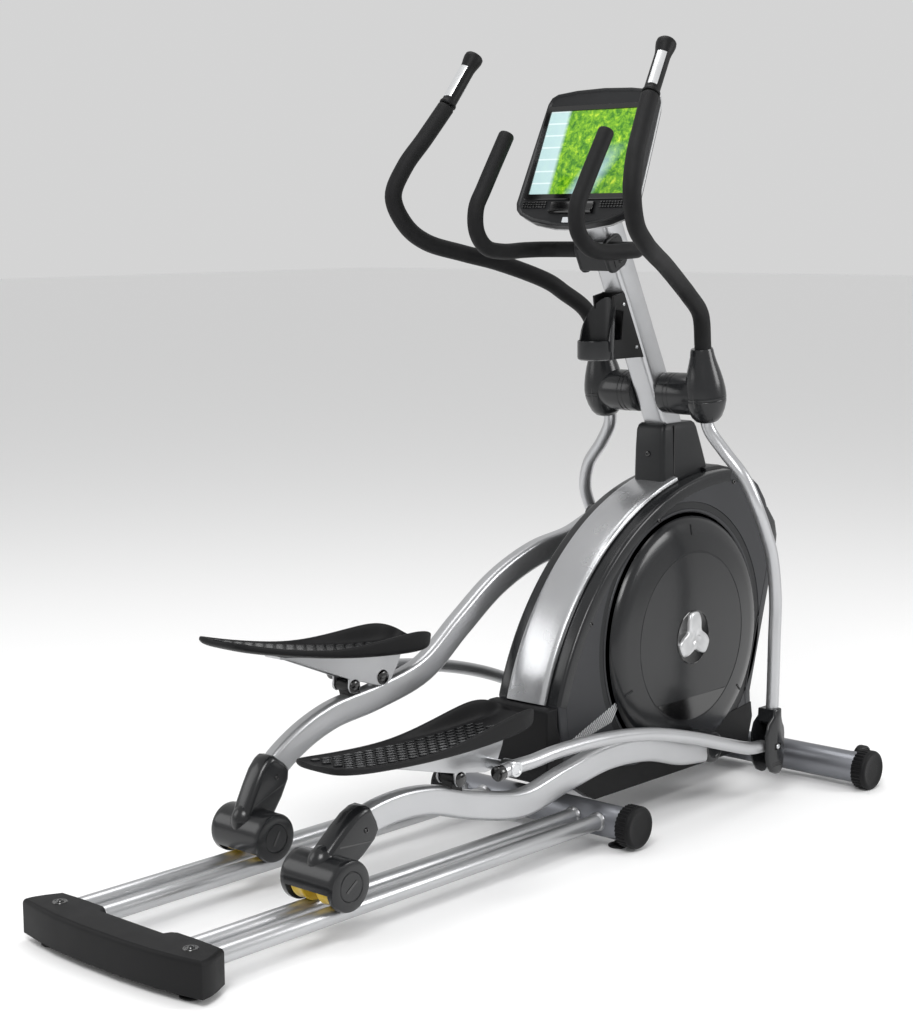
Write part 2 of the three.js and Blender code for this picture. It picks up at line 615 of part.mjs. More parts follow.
function pedalLink(sign) {
  const plate = [
    [-236, 46], [-60, 61.5], [60, 77.5], [128, 91], [118, 62], [104, 18], [84, 8], [14, 12], [12, -14],
    [-14, -14], [-16, 16],
  ];
  const web = [[-236, 46], [-60, 61.5], [60, 77.5], [128, 91], [124, 84], [60, 71], [-60, 55], [-230, 40]];
  const [inner, outer] = [TRACK_Y - 27, TRACK_Y + 27];
  const { x, z } = LINK_PIN;
  const rodPath = [
    [x, z], [230, 50], [400, 65], [560, 63], [720, 43], [870, 15], [970, -2], [LINK_LENGTH - 18, -1],
  ];
  const rod = rodPath.map(([px, pz]) => [px, sign * ROD_Y, pz]);
  return join(
    sideView(plate, ...spanY(sign, inner, inner + 5)),
    sideView(plate, ...spanY(sign, outer - 5, outer)),
    sideView(web, ...spanY(sign, inner, outer)),
    discY(0, 0, 7, ...spanY(sign, inner, outer), 16),
    discY(x, z, 12, ...spanY(sign, inner, ROD_Y + 8), 20),
    discY(x, z, ROD_RADIUS + 2, ...spanY(sign, ROD_Y - 17, ROD_Y + 17), 20),
    tube(rod, ROD_RADIUS, 16),
  );
}

// Where one side's arm and link stand when its crank pin is at a height over the hub.
function linkage(crankDrop) {
  const pinZ = HUB.z + crankDrop;
  const armAngle = Math.asin((pinZ - ROLLER_Z) / ARM_LENGTH);
  const rollerX = HUB.x - ARM_LENGTH * Math.cos(armAngle);
  const pivotX = rollerX + LINK_PIVOT.x * Math.cos(armAngle) - LINK_PIVOT.z * Math.sin(armAngle);
  const pivotZ = ROLLER_Z + LINK_PIVOT.x * Math.sin(armAngle) + LINK_PIVOT.z * Math.cos(armAngle);
  const linkAngle = Math.atan2(SWING_END.z - pivotZ, SWING_END.x - pivotX);
  return { rollerX, armAngle, linkTurn: linkAngle - armAngle };
}

for (const { name, sign } of SIDES) {
  const { rollerX, armAngle, linkTurn } = linkage(sign * CRANK_RADIUS);
  const carriage = new THREE.Group();
  carriage.position.set(rollerX, 0, ROLLER_Z);
  machine.add(carriage);
  const axle = discY(0, 0, 9, ...spanY(sign, TRACK_Y - ROLLER_HALF + 1, TRACK_Y + ROLLER_HALF - 1), 16);
  place(`roller_axle_${name}`, axle, steel, carriage);
  place(`roller_wheels_${name}`, rollerWheels(), yellow, carriage).position.y = sign * TRACK_Y;
  const arm = new THREE.Group();
  arm.rotation.y = -armAngle;
  carriage.add(arm);
  place(`roller_cover_${name}`, rollerCover(sign), charcoal, arm);
  place(`pedal_arm_${name}`, pedalArm(sign), silver, arm);
  const link = new THREE.Group();
  link.position.set(LINK_PIVOT.x, 0, LINK_PIVOT.z);
  link.rotation.y = -linkTurn;
  arm.add(link);
  place(`pedal_link_${name}`, pedalLink(sign), silver, link);
  place(`pedal_${name}`, pedal(sign), black, link);
}

// ---------- swing arms ----------
const GRIP_PATH = [
  [-17.5, 5, 88], [-20, 5, 124], [-48, 18, 192], [-118, 34, 240], [-165, 44, 267], [-290, 92, 314],
  [-374, 129, 337], [-460, 167, 364], [-512, 182, 402], [-541, 194, 468], [-516, 181, 536], [-469, 162, 600],
  [-413, 143, 675],
];
const HEAD = { from: [-412.6, 142.9, 675.6], to: [-331, 126, 794] };
const LOWER_PATH = [
  [12, -8, -48], [20, -2, -84], [33, 34, -136], [43, 84, -196], [60, 108, -262], [95, 112, -330],
  [124, 111, -390], [144, 110, -495], [142, 110, -600], [138, 110, -745], [134, 110, -795],
];

const outward = (sign, path) => mirrored(sign, path.map(([x, y, z]) => [x, y + SWING_Y, z]));

// The room for a tube that ends inside a piece: the tube a little wider, and its end face a little longer.
function socket(path, radius, steps) {
  const [start, next] = path.map((point) => new THREE.Vector3(...point));
  const behind = start.clone().lerp(next, -0.05);
  const ahead = start.clone().lerp(next, 0.05);
  const end = bar(behind.toArray(), ahead.toArray(), radius + 3 * GAP);
  return [tube(path, radius + 2 * GAP, steps), end];
}

function swingShroud(sign) {
  const profile = [[0, -70], [24, -70], [42, -38], [49, 0], [43, 38], [24.5, 112], [0, 112]];
  const body = turned(profile, 16).rotateX(Math.PI / 2).rotateY(-0.15);
  body.translate(0, sign * SWING_Y, 0);
  const elbow = discY(0, 0, 50, ...spanY(sign, 36, SWING_Y - 8), 20);
  return cut(
    join(body, elbow),
    discY(0, 0, 16 + GAP, ...spanY(sign, 30, SWING_Y + 1), 24),
    ...socket(outward(sign, GRIP_PATH), GRIP_RADIUS, GRIP_STEPS),
    ...socket(outward(sign, LOWER_PATH), LOWER_TUBE_RADIUS, LOWER_STEPS),
  );
}

function swingHead(sign) {
  const [from, to] = [HEAD.from, HEAD.to].map(([x, y, z]) => new THREE.Vector3(x, sign * (y + SWING_Y), z));
  const length = to.distanceTo(from);
  const tip = [[16.5, length - 34], [20, length - 20], [19, length - 4], [15, length], [0, length]];
  const body = turned([[0, 3], [19, 3], [19, 8], [16.5, 12], ...tip], 16);
  const along = to.clone().sub(from).normalize();
  const turn = new THREE.Quaternion().setFromUnitVectors(new THREE.Vector3(0, 1, 0), along);
  const pocket = new THREE.CylinderGeometry(11 + GAP, 11 + GAP, 12, 20).translate(0, length, 0);
  return { barrel: cut(body, pocket).applyQuaternion(turn).translate(...from), from, turn, length };
}

function lowerCover(sign) {
  const shape = [
    [-26, -20], [-14, -62], [8, -70], [26, -54], [30, -10], [29, 40], [22, 88], [-8, 88], [-24, 62],
    [-30, 30],
  ];
  const [x, z] = [SWING_END.x - SWING_PIVOT.x, SWING_END.z - SWING_PIVOT.z];
  const body = sideView(shape, ...spanY(sign, ROD_Y - 25, ROD_Y + 25), 6).translate(x, 0, z);
  const slotShape = [[-40, -80], [6, -80], [19, -50], [20, 30], [12, 48], [-40, 48]];
  const slot = sideView(slotShape, ...spanY(sign, ROD_Y - 17.5, ROD_Y + 17.5)).translate(x, 0, z);
  const tubeRoom = tube(outward(sign, LOWER_PATH), LOWER_TUBE_RADIUS + 2 * GAP, LOWER_STEPS);
  return cut(body, slot, tubeRoom);
}

for (const { name, sign } of SIDES) {
  const swing = new THREE.Group();
  swing.position.set(SWING_PIVOT.x, 0, SWING_PIVOT.z);
  machine.add(swing);
  const { barrel, from, turn, length } = swingHead(sign);
  place(`swing_shroud_${name}`, swingShroud(sign), charcoal, swing);
  const grip = tube(outward(sign, GRIP_PATH), GRIP_RADIUS, GRIP_STEPS);
  const lowerTube = tube(outward(sign, LOWER_PATH), LOWER_TUBE_RADIUS, LOWER_STEPS);
  place(`swing_grip_${name}`, grip, foam, swing);
  place(`swing_head_${name}`, barrel, charcoal, swing);
  const button = new THREE.CylinderGeometry(11, 11, 4.5, 20).translate(0, length - 1.2, 0);
  button.applyQuaternion(turn).translate(...from);
  place(`swing_button_${name}`, button, graphite, swing);
  place(`swing_tube_${name}`, lowerTube, silver, swing);
  place(`swing_joint_cover_${name}`, lowerCover(sign), black, swing);
}

// ---------- origin under the middle of the machine ----------
machine.position.x = -(REAR_MOST + FRONT_MOST) / 2;
const trainer = new THREE.Group();
trainer.add(machine);

export default trainer;
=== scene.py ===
import json
from math import acos, asin, atan2, cos, pi, radians, sin

import bmesh
import bpy
from mathutils import Matrix, Vector


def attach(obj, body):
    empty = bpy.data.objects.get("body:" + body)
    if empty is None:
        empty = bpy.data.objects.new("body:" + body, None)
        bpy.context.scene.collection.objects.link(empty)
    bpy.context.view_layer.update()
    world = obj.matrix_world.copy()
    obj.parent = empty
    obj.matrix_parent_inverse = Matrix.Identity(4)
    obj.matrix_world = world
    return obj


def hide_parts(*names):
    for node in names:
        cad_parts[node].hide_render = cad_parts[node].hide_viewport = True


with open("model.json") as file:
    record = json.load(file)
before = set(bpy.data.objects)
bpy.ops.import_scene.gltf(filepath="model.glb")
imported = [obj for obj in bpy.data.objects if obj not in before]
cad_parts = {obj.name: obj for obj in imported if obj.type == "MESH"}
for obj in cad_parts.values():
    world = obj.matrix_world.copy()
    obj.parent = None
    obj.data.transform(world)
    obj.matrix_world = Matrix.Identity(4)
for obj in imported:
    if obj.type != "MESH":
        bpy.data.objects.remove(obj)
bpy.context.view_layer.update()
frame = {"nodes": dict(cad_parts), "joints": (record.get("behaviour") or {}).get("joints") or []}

bl_info = {
    "name": "Elliptical Trainer",
    "version": (1, 0, 0),
    "blender": (4, 5, 0),
    "location": "View3D > Sidebar > Trainer",
    "description": "Builds the visible pieces of a front-drive elliptical trainer",
    "category": "Add Mesh",
}

JOINTS = {joint["name"]: joint for joint in frame["joints"]}
SIDES = (("right", -1), ("left", 1))

# ---------- driving dimensions: millimetres, X from the machine's rear datum ----------
MM = 0.001
HUB = (1690, 397)
DATUM = HUB[0] - JOINTS["crank_spin"]["pos_m"][0] / MM
CRANK_RADIUS = 264
RAIL_Y = (135.7, 206.9)
RAIL_Z = 59.5
TRACK_Y = sum(RAIL_Y) / 2
MID_BAR = (1252, 54, 262)  # x, z, half length
FRONT_BAR = (2027, 48.5, 391)
BAR_RADIUS = 38
CAP_RADIUS = 48.5
TRANSPORT = (2098, 352, 58)
ROLLER_Z = 121
ARM_LENGTH = 1290
ARM_SECTION = (36, 62)
LINK_PIVOT = (370, 125)
LINK_PIN = (84, 28)
ROD_Y = 262
SWING_PIVOT = (1690, 985)
SWING_END = (1815, 128)
SWING_Y = 152
CLAMP_LEAN = 0.458  # radians, with the mast
CONSOLE = (1428, 1550)
CONSOLE_TILT = radians(23.7)
HANDLEBAR = (1461, 1330)
ARC = (1867, 106)
ARC_SIDE = 678
ARC_BAND = 694
SIDE_FACE = 92
BOTTLE = (1464, 43, 1074)  # x, radius, underside
MAST_SLOPE = 0.4935  # rearward for each unit of height
REAR_COVER_SCREW = (36, 196)
DRUM = (52, 48)  # outer and inner radius of a roller hood
DISPLAY = (278, 210)
DISC_MARKS = (90, 202, 322)  # degrees round the disc
ARC_JOINT = 163  # degrees round the arc's centre, where the side bands begin
TUBE_SEGMENTS = 32
PATH_STEPS = 8

MACHINE = Matrix.Scale(MM, 4) @ Matrix.Translation((-DATUM, 0, 0))


# ---------- sizes and colours a user may change ----------
class TrainerSizes(bpy.types.PropertyGroup):
    disc_radius: bpy.props.FloatProperty(
        name="Disc radius", description="Radius of a crank disc", default=292, unit="NONE", min=250, max=298)
    grip_radius: bpy.props.FloatProperty(
        name="Grip radius", description="Radius of a moving handle's foam", default=20, min=15, max=24)
    fixed_grip_radius: bpy.props.FloatProperty(
        name="Fixed grip radius", description="Radius of a fixed handle's foam", default=18.5, min=15, max=22)
    tube_radius: bpy.props.FloatProperty(
        name="Tube radius", description="Radius of a swing tube and a link rod", default=15.5, min=12, max=18)
    rail_radius: bpy.props.FloatProperty(
        name="Rail radius", description="Radius of a rail", default=18.2, min=14, max=20)


class TrainerColours(bpy.types.PropertyGroup):
    silver: bpy.props.FloatVectorProperty(
        name="Silver", description="Powder coat of the frame", subtype="COLOR", size=3,
        default=(0.46, 0.465, 0.475))
    graphite: bpy.props.FloatVectorProperty(
        name="Graphite", description="Side covers and cross tubes", subtype="COLOR", size=3,
        default=(0.034, 0.035, 0.038))
    charcoal: bpy.props.FloatVectorProperty(
        name="Charcoal", description="Moulded covers", subtype="COLOR", size=3,
        default=(0.010, 0.0105, 0.0115))
    black: bpy.props.FloatVectorProperty(
        name="Black", description="Pedals, caps and base covers", subtype="COLOR", size=3,
        default=(0.0055, 0.0055, 0.006))
    foam: bpy.props.FloatVectorProperty(
        name="Foam", description="Hand grips", subtype="COLOR", size=3, default=(0.0045, 0.0045, 0.005))
    urethane: bpy.props.FloatVectorProperty(
        name="Urethane", description="Roller wheels", subtype="COLOR", size=3, default=(0.70, 0.47, 0.02))


# ---------- materials: every finish takes the user's colours, whether it needs them or not ----------
FINISHES = {}
GRAIN_HEIGHT = 0.0006  # metres
COAT_ROUGHNESS = 0.12
MOTTLE_RANGE = (0.3, 0.72)


def node(tree, kind, links=(), **values):
    """A node with its plain inputs set by name and its linked inputs given as (socket, output)."""
    made = tree.nodes.new(kind)
    for key, value in values.items():
        if key in made.inputs:
            made.inputs[key].default_value = value
        else:
            setattr(made, key, value)
    for socket, output in links:
        tree.links.new(output, made.inputs[socket])
    return made


def remap(tree, value, source, target):
    made = node(tree, "ShaderNodeMapRange", [("Value", value)])
    for name, number in zip(("From Min", "From Max", "To Min", "To Max"), (*source, *target)):
        made.inputs[name].default_value = number
    return made


def maths(tree, operation, value, number):
    made = node(tree, "ShaderNodeMath", [(0, value)], operation=operation)
    made.inputs[1].default_value = number
    return made


def finish(name, colour, roughness, metallic=0.0, grain=(900, 0.12), mottle=(6, 0.12), stretch=(1, 1, 1),
           coat=0.0, wear=0.06, gloss=0.5):
    """A moulded or painted surface: mottled colour, uneven roughness and a fine raised grain."""
    if name in FINISHES:
        return FINISHES[name]
    material = FINISHES[name] = bpy.data.materials.new(f"{name}_finish")
    material.use_nodes = True
    tree = material.node_tree
    shader = tree.nodes["Principled BSDF"]
    place = node(tree, "ShaderNodeTexCoord")
    turned_place = node(tree, "ShaderNodeMapping", [("Vector", place.outputs["Object"])], Scale=stretch)
    vector = turned_place.outputs["Vector"]
    cloud = node(tree, "ShaderNodeTexNoise", [("Vector", vector)], Scale=mottle[0], Detail=5.0)
    spread = mottle[1]
    ramp = node(tree, "ShaderNodeValToRGB", [("Fac", cloud.outputs["Fac"])])
    ramp.color_ramp.elements[0].position = MOTTLE_RANGE[0]
    ramp.color_ramp.elements[0].color = (*(c * (1 - spread) for c in colour), 1)
    ramp.color_ramp.elements[1].position = MOTTLE_RANGE[1]
    ramp.color_ramp.elements[1].color = (*(min(1, c * (1 + spread)) for c in colour), 1)
    tree.links.new(ramp.outputs["Color"], shader.inputs["Base Color"])
    smear = node(tree, "ShaderNodeTexNoise", [("Vector", vector)], Scale=mottle[0] * 4, Detail=6.0)
    rough = node(tree, "ShaderNodeMapRange", [("Value", smear.outputs["Fac"])])
    rough.inputs["To Min"].default_value = max(0.02, roughness - wear)
    rough.inputs["To Max"].default_value = roughness + wear
    tree.links.new(rough.outputs["Result"], shader.inputs["Roughness"])
    fine = node(tree, "ShaderNodeTexNoise", [("Vector", vector)], Scale=grain[0], Detail=3.0)
    bump = node(tree, "ShaderNodeBump", [("Height", fine.outputs["Fac"])], Strength=grain[1],
                Distance=GRAIN_HEIGHT)
    tree.links.new(bump.outputs["Normal"], shader.inputs["Normal"])
    shader.inputs["Metallic"].default_value = metallic
    shader.inputs["Coat Weight"].default_value = coat
    shader.inputs["Coat Roughness"].default_value = COAT_ROUGHNESS
    shader.inputs["Specular IOR Level"].default_value = gloss
    return material


def silver_paint(colours):
    return finish("silver_paint", colours.silver, 0.31, 0.82, grain=(1800, 0.10), mottle=(5, 0.05), coat=0.15)


def silver_band(colours):
    return finish("silver_lacquer", [c * 1.05 for c in colours.silver], 0.26, 0.85, grain=(2600, 0.04),
                  mottle=(4, 0.04), coat=0.0)


def dark_paint(colours):
    return finish("dark_metallic_paint", [c * 6.0 for c in colours.graphite], 0.34, 0.8, grain=(1500, 0.10),
                  mottle=(6, 0.07), coat=0.1)


def graphite_plastic(colours):
    return finish("graphite_plastic", colours.graphite, 0.36, 0.35, grain=(1500, 0.16), mottle=(4, 0.08),
                  gloss=0.35)


def charcoal_plastic(colours):
    return finish("charcoal_plastic", colours.charcoal, 0.40, 0.0, grain=(1300, 0.22), mottle=(6, 0.14),
                  gloss=0.28)


def gloss_charcoal(colours):
    return finish("gloss_charcoal", colours.charcoal, 0.24, 0.0, grain=(1600, 0.06), mottle=(5, 0.10),
                  coat=0.12, gloss=0.36)


def black_plastic(colours):
    return finish("black_plastic", colours.black, 0.42, 0.0, grain=(1100, 0.30), mottle=(8, 0.2), wear=0.09,
                  gloss=0.25)


def gloss_black(colours):
    return finish("gloss_black", [c * 0.5 for c in colours.black], 0.14, 0.0, grain=(2000, 0.02),
                  mottle=(5, 0.1), coat=0.5)


def grip_foam(colours):
    return finish("grip_foam", colours.foam, 0.6, 0.0, grain=(2200, 0.55), mottle=(40, 0.25), wear=0.08,
                  gloss=0.2)


def turned_steel(colours):
    return finish("turned_steel", (0.56, 0.57, 0.58), 0.28, 1.0, grain=(700, 0.25), mottle=(9, 0.06),
                  stretch=(1, 0.05, 1))


def bright_silver(colours):
    return finish("bright_silver", (0.55, 0.555, 0.56), 0.3, 0.6, grain=(1500, 0.08), mottle=(8, 0.05))


def wheel_urethane(colours):
    return finish("wheel_urethane", colours.urethane, 0.38, 0.0, grain=(900, 0.18), mottle=(14, 0.1),
                  coat=0.1)


def cover_black(colours):
    return finish("cover_black", colours.black, 0.48, 0.0, grain=(1200, 0.35), mottle=(6, 0.18), gloss=0.16)


def sensor_plate(colours):
    return finish("sensor_plate", (0.82, 0.83, 0.84), 0.22, 0.9, grain=(1500, 0.03), mottle=(8, 0.04))


def belt_rubber(colours):
    return finish("belt_rubber", colours.black, 0.7, 0.0, grain=(500, 0.5), mottle=(30, 0.3))


def pale_label(colours):
    return finish("pale_label", (0.52, 0.54, 0.56), 0.35, 0.0, grain=(2500, 0.04), mottle=(20, 0.05))


def display_picture():
    """A lit display: grassy slopes under a bright haze, with a plain pale column of rows at one side."""
    material = bpy.data.materials.new("display_picture")
    material.use_nodes = True
    tree = material.node_tree
    shader = tree.nodes["Principled BSDF"]
    place = node(tree, "ShaderNodeUVMap", uv_map="screen")
    split = node(tree, "ShaderNodeSeparateXYZ", [("Vector", place.outputs["UV"])])
    stretched = node(tree, "ShaderNodeMapping", [("Vector", place.outputs["UV"])], Scale=(4.6, 3.2, 1))
    leaves = node(tree, "ShaderNodeTexNoise", [("Vector", stretched.outputs["Vector"])], Scale=3.2,
                  Detail=11.0, Roughness=0.82, Distortion=0.35)
    meadow = node(tree, "ShaderNodeValToRGB", [("Fac", leaves.outputs["Fac"])])
    stops = ((0.32, (0.006, 0.040, 0.004)), (0.45, (0.035, 0.15, 0.008)), (0.56, (0.16, 0.34, 0.012)),
             (0.70, (0.55, 0.60, 0.05)))
    for index, (position, colour) in enumerate(stops):
        stop = meadow.color_ramp.elements[index] if index < 2 else meadow.color_ramp.elements.new(position)
        stop.position = position
        stop.color = (*colour, 1)
    road = maths(tree, "SUBTRACT", split.outputs["X"], 0.52)
    slant = maths(tree, "MULTIPLY", split.outputs["Y"], 0.42)
    across = node(tree, "ShaderNodeMath", [(0, road.outputs[0]), (1, slant.outputs[0])], operation="SUBTRACT")
    width = node(tree, "ShaderNodeMath", [(0, across.outputs[0])], operation="ABSOLUTE")
    narrow = remap(tree, width.outputs[0], (0.06, 0.17), (0.8, 0.0))
    low = remap(tree, split.outputs["Y"], (0.3, 0.62), (1.0, 0.0))
    path_mask = node(tree, "ShaderNodeMath", [(0, narrow.outputs[0]), (1, low.outputs[0])],
                     operation="MULTIPLY")
    with_path = node(tree, "ShaderNodeMix", [("Factor", path_mask.outputs[0])], data_type="RGBA")
    tree.links.new(meadow.outputs["Color"], with_path.inputs["A"])
    with_path.inputs["B"].default_value = (0.25, 0.36, 0.42, 1)
    rows = maths(tree, "MULTIPLY", split.outputs["Y"], 7.0)
    row_part = node(tree, "ShaderNodeMath", [(0, rows.outputs[0])], operation="FRACT")
    row_line = maths(tree, "GREATER_THAN", row_part.outputs[0], 0.88)
    column = node(tree, "ShaderNodeMix", [("Factor", row_line.outputs[0])], data_type="RGBA")
    column.inputs["A"].default_value = (0.34, 0.46, 0.48, 1)
    column.inputs["B"].default_value = (0.50, 0.58, 0.60, 1)
    edge = remap(tree, split.outputs["X"], (0.19, 0.23), (0.92, 0.0))
    picture = node(tree, "ShaderNodeMix", [("Factor", edge.outputs[0])], data_type="RGBA")
    tree.links.new(with_path.outputs["Result"], picture.inputs["A"])
    tree.links.new(column.outputs["Result"], picture.inputs["B"])
    tree.links.new(picture.outputs["Result"], shader.inputs["Base Color"])
    tree.links.new(picture.outputs["Result"], shader.inputs["Emission Color"])
    shader.inputs["Emission Strength"].default_value = 0.55
    shader.inputs["Roughness"].default_value = 0.12
    return material


# ---------- mesh helpers ----------
def settle(bm, name, body, material, stands_for=(), local=None, edge=0.0, smoothing=0, sharp=38):
    """Turns a bmesh in machine millimetres into a finished piece that rides on a body."""
    bmesh.ops.remove_doubles(bm, verts=bm.verts, dist=0.005)
    if local is not None:
        bm.transform(local)
    bm.transform(MACHINE)
    bmesh.ops.recalc_face_normals(bm, faces=bm.faces)
    mesh = bpy.data.meshes.new(name)
    bm.to_mesh(mesh)
    bm.free()
    mesh.polygons.foreach_set("use_smooth", [True] * len(mesh.polygons))
    mesh.set_sharp_from_angle(angle=radians(sharp))
    mesh.materials.append(material)
    piece = bpy.data.objects.new(name, mesh)
    bpy.context.collection.objects.link(piece)
    if edge:
        rounding = piece.modifiers.new("Rounded edges", "BEVEL")
        rounding.width = edge * MM
        rounding.segments = 3
        rounding.limit_method = "ANGLE"
        rounding.angle_limit = radians(32)
        rounding.harden_normals = True
    if smoothing:
        surface = piece.modifiers.new("Smooth form", "SUBSURF")
        surface.levels = smoothing
        surface.render_levels = smoothing
    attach(piece, body)
    if stands_for:
        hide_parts(*stands_for)
    return piece


def refinish(name, material):
    """Gives a CAD node that keeps its shape a detailed finish."""
    mesh = frame["nodes"][name].data
    mesh.materials.clear()
    mesh.materials.append(material)


def smooth_path(points, steps=PATH_STEPS):
    """Points along a centripetal curve through the given ones."""
    knots = [Vector(p) for p in points]
    knots = [2 * knots[0] - knots[1], *knots, 2 * knots[-1] - knots[-2]]
    made = []
    for p0, p1, p2, p3 in zip(knots, knots[1:], knots[2:], knots[3:]):
        t1 = (p1 - p0).length ** 0.5
        t2 = t1 + (p2 - p1).length ** 0.5
        t3 = t2 + (p3 - p2).length ** 0.5
        for step in range(steps):
            t = t1 + (t2 - t1) * step / steps
            a1 = p0.lerp(p1, t / t1)
            a2 = p1.lerp(p2, (t - t1) / (t2 - t1))
            a3 = p2.lerp(p3, (t - t2) / (t3 - t2))
            b1 = a1.lerp(a2, t / t2)
            b2 = a2.lerp(a3, (t - t1) / (t3 - t1))
            made.append(b1.lerp(b2, (t - t1) / (t2 - t1)))
    return [*made, knots[-2]]


def tangents(points):
    ends = zip([points[0], *points[:-1]], [*points[1:], points[-1]])
    return [(after - before).normalized() for before, after in ends]


def placements(points):
    """A placement at each point of a path, Z along the path, carried along without twist."""
    headings = tangents(points)
    turn = headings[0].to_track_quat("Z", "Y")
    made = []
    for index, point in enumerate(points):
        if index:
            turn = headings[index - 1].rotation_difference(headings[index]) @ turn
        made.append(Matrix.Translation(point) @ turn.to_matrix().to_4x4())
    return made


def flat_placements(points):
    """Placements on a path in a side view: X across the machine, Z along the path."""
    made = []
    for point, heading in zip(points, tangents(points)):
        across = Vector((0, 1, 0))
        upward = heading.cross(across)
        turn = Matrix((across, upward, heading)).transposed().to_4x4()
        made.append(Matrix.Translation(point) @ turn)
    return made


def sweep(bm, edges, places):
    """Carries a ring of edges from placement to placement and closes both ends."""
    bmesh.ops.contextual_create(bm, geom=edges)
    for before, after in zip(places, places[1:]):
        made = bmesh.ops.extrude_edge_only(bm, edges=edges)["geom"]
        verts = [part for part in made if isinstance(part, bmesh.types.BMVert)]
        edges = [part for part in made if isinstance(part, bmesh.types.BMEdge) and part.is_boundary]
        bmesh.ops.transform(bm, matrix=after @ before.inverted(), verts=verts)
    bmesh.ops.contextual_create(bm, geom=edges)


def ring(bm, place, radius, segments):
    made = bmesh.ops.create_circle(bm, cap_ends=False, segments=segments, radius=radius, matrix=place)
    return list({edge for vert in made["verts"] for edge in vert.link_edges})


def tube(bm, points, radius, segments=28, ends=4.0):
    """A round tube along a path, with its end edges rounded."""
    path = [Vector(p) for p in points]
    first, last = path[0], path[-1]
    into = (path[1] - first).normalized()
    out = (path[-2] - last).normalized()
    path = [first, first + into * ends * 0.3, first + into * ends, *path[1:-1], last + out * ends,
            last + out * ends * 0.3, last]
    places = placements(path)
    small, large = 1 - ends / radius, 1 - 0.3 * ends / radius
    scales = [small, large, 1.0, *([1.0] * (len(path) - 6)), 1.0, large, small]
    places = [place @ Matrix.Scale(scale, 4) for place, scale in zip(places, scales)]
    sweep(bm, ring(bm, places[0], radius, segments), places)


def rounded_bar_section(bm, width, depth, corner, place):
    """A rounded rectangle as a ring of edges, X across and Y deep, on a placement."""
    made = bmesh.ops.create_grid(bm, x_segments=1, y_segments=1, size=0.5)
    bmesh.ops.scale(bm, vec=(width, depth, 1), verts=made["verts"])
    rounded = bmesh.ops.bevel(bm, geom=made["verts"], offset=corner, segments=5, affect="VERTICES",
                              profile=0.5, material=-1, offset_type="OFFSET")
    verts = [v for v in bm.verts if v.is_valid and (v in rounded["verts"] or v in made["verts"])]
    bmesh.ops.transform(bm, matrix=place, verts=verts)
    edges = list({edge for vert in verts for edge in vert.link_edges})
    faces = list({face for vert in verts for face in vert.link_faces})
    bmesh.ops.delete(bm, geom=faces, context="FACES_ONLY")
    return edges


def turned(bm, profile, place, steps=64):
    """Turns a profile of (radius, height) pairs about the placement's Z axis."""
    verts = [bm.verts.new((radius, 0, height)) for radius, height in profile]
    edges = [bm.edges.new(pair) for pair in zip(verts, verts[1:])]
    made = bmesh.ops.spin(bm, geom=[*verts, *edges], cent=(0, 0, 0), axis=(0, 0, 1), dvec=(0, 0, 0),
                          angle=2 * pi, steps=steps, use_merge=True, use_normal_flip=False,
                          use_duplicate=False)
    grown = {vert for edge in made["geom_last"] if isinstance(edge, bmesh.types.BMEdge)
             for vert in edge.verts}
    island = set(grown)
    frontier = list(grown | {v for v in verts if v.is_valid})
    while frontier:
        vert = frontier.pop()
        island.add(vert)
        for link in vert.link_edges:
            other = link.other_vert(vert)
            if other not in island:
                island.add(other)
                frontier.append(other)
    bmesh.ops.transform(bm, matrix=place, verts=list(island))


def along_y(x, y, z, sign=1):
    """A placement whose Z axis points outwards across the machine."""
    return Matrix.Translation((x, y, z)) @ Matrix.Rotation(-sign * pi / 2, 4, "X")


def plate(bm, outline, y0, y1):
    """A side-view outline of (x, z) pairs given a thickness across the machine."""
    face = bm.faces.new([bm.verts.new((x, y0, z)) for x, z in outline])
    made = bmesh.ops.extrude_face_region(bm, geom=[face])["geom"]
    verts = [part for part in made if isinstance(part, bmesh.types.BMVert)]
    bmesh.ops.translate(bm, vec=(0, y1 - y0, 0), verts=verts)


def block(bm, x0, x1, y0, y1, z0, z1):
    plate(bm, [(x0, z0), (x1, z0), (x1, z1), (x0, z1)], y0, y1)


def offset(points, distance):
    """The same outline moved outwards by a distance."""
    area = sum(a[0] * b[1] - b[0] * a[1] for a, b in zip(points, [*points[1:], points[0]]))
    turn = 1 if area > 0 else -1
    moved = []
    for index, (x, y) in enumerate(points):
        before = Vector((x, y)) - Vector(points[index - 1])
        after = Vector(points[(index + 1) % len(points)]) - Vector((x, y))
        normals = [Vector((edge.y, -edge.x)).normalized() * turn for edge in (before, after)]
        middle = (normals[0] + normals[1]).normalized()
        step = middle * (distance / max(0.35, middle.dot(normals[0])))
        moved.append((x + step.x, y + step.y))
    return moved


def arc_points(centre, radius, start, stop, steps):
    angles = [radians(start + (stop - start) * i / steps) for i in range(steps + 1)]
    return [(centre[0] + radius * cos(a), centre[1] + radius * sin(a)) for a in angles]


def closed_ring(bm, points):
    verts = [bm.verts.new(p) for p in points]
    return [bm.edges.new(pair) for pair in zip(verts, [*verts[1:], verts[0]])]


def bridge(bm, rings, closed=False):
    pairs = list(zip(rings, rings[1:]))
    if closed:
        pairs.append((rings[-1], rings[0]))
    for first, second in pairs:
        bmesh.ops.bridge_loops(bm, edges=[*first, *second])


def capped_loft(bm, rings):
    bridge(bm, rings)
    for end in (rings[0], rings[-1]):
        bmesh.ops.contextual_create(bm, geom=end)


